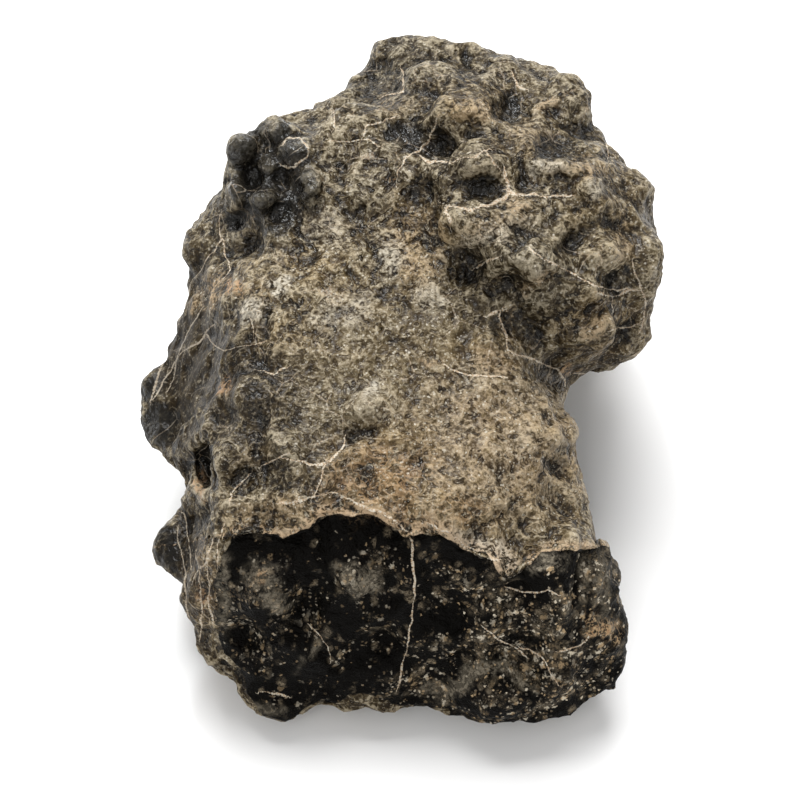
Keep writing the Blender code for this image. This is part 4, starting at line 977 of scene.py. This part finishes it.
def weatheredStone():
    # a glossy finish, and a dull one on the break, the steep sides and the smooth patches
    made = bpy.data.materials.new("weathered stone")
    made.use_nodes = True
    made.node_tree.nodes.clear()
    Wire.tree = made.node_tree
    look = sharedTextures()
    skin = weatheredColour(look)
    lines, lineColour = veinLines(look)
    bothSkins = blendColour(look.fresh, skin, brokenColour(look))
    normal = fineBumps(look)
    rough = blendValue(most(lines, look.dusty), 0.36 - look.dark * 0.16 + look.grainShift * 0.4, 0.7)
    glossy = principled(blendColour(lines, skin, lineColour), rough, normal, weathered["specular"])
    rough = 0.5 + look.grainShift * 0.4
    dull = principled(blendColour(lines, bothSkins, lineColour), rough, normal, broken["specular"])
    dullPlaces = most(most(markOf("dull"), look.smooth) * 0.92, (1 - look.dark) * 0.5)
    surface = Wire.add("ShaderNodeMixShader", {}, {0: most(look.fresh, dullPlaces), 1: glossy, 2: dull})
    Wire.add("ShaderNodeOutputMaterial", {}, {"Surface": surface})
    return made


print("stone: material")
stone.data.materials.append(weatheredStone())
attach(stone, "root")
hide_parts("meteorite")


# Pale floor and soft studio light: lengths are metres, powers are watts

studio = {
    "floorSize": 6,
    "floorDrop": 0.00002,
    "floorColour": (0.93, 0.93, 0.93, 1),
    "floorRoughness": 0.9,
    "worldColour": (1, 1, 1, 1),
    "worldStrength": 0.55,
    # place, size, power, colour
    "lights": {
        "overheadSoftbox": ((-0.04, 0.36, 0.74), 0.55, 9.5, (1, 1, 1)),
        "backSpark": ((-0.16, 0.52, 0.4), 0.07, 1.8, (0.93, 0.97, 1)),
        "frontFill": ((-0.25, -0.7, 0.6), 0.6, 2.6, (1, 0.99, 0.97)),
    },
}


def plainFloor():
    mesh = bpy.data.meshes.new("floor")
    half, drop = studio["floorSize"] / 2, studio["floorDrop"]
    corners = [(-half, -half, -drop), (half, -half, -drop), (half, half, -drop), (-half, half, -drop)]
    mesh.from_pydata(corners, [], [(0, 1, 2, 3)])
    floor = bpy.data.objects.new("floor", mesh)
    bpy.context.scene.collection.objects.link(floor)
    paint = bpy.data.materials.new("floor paint")
    paint.use_nodes = True
    shader = paint.node_tree.nodes["Principled BSDF"]
    shader.inputs["Base Color"].default_value = studio["floorColour"]
    shader.inputs["Roughness"].default_value = studio["floorRoughness"]
    mesh.materials.append(paint)
    return floor


def softLight(name, place, size, power, colour):
    lamp = bpy.data.lights.new(name, "AREA")
    lamp.size = size
    lamp.energy = power
    lamp.color = colour
    light = bpy.data.objects.new(name, lamp)
    light.location = place
    light.rotation_euler = Vector(place).to_track_quat("Z", "Y").to_euler()
    bpy.context.scene.collection.objects.link(light)


print("studio")
plainFloor()
for name, settings in studio["lights"].items():
    softLight(name, *settings)
world = bpy.data.worlds.new("studio")
world.use_nodes = True
background = world.node_tree.nodes["Background"]
background.inputs["Color"].default_value = studio["worldColour"]
background.inputs["Strength"].default_value = studio["worldStrength"]
bpy.context.scene.world = world
bpy.context.scene.view_settings.view_transform = "Standard"

lens = bpy.data.cameras.new("camera")
lens.lens = view["lens"]
lens.sensor_width = view["sensorWidth"]
lens.shift_y = view["shiftUp"]
lens.clip_end = view["reach"]
camera = bpy.data.objects.new("camera", lens)
back = Vector(towardsAxis)
camera.location = (Vector(view["target"]) + back * view["distance"]) * mm
camera.rotation_euler = (-back).to_track_quat("-Z", "Y").to_euler()
bpy.context.scene.collection.objects.link(camera)
bpy.context.scene.camera = camera
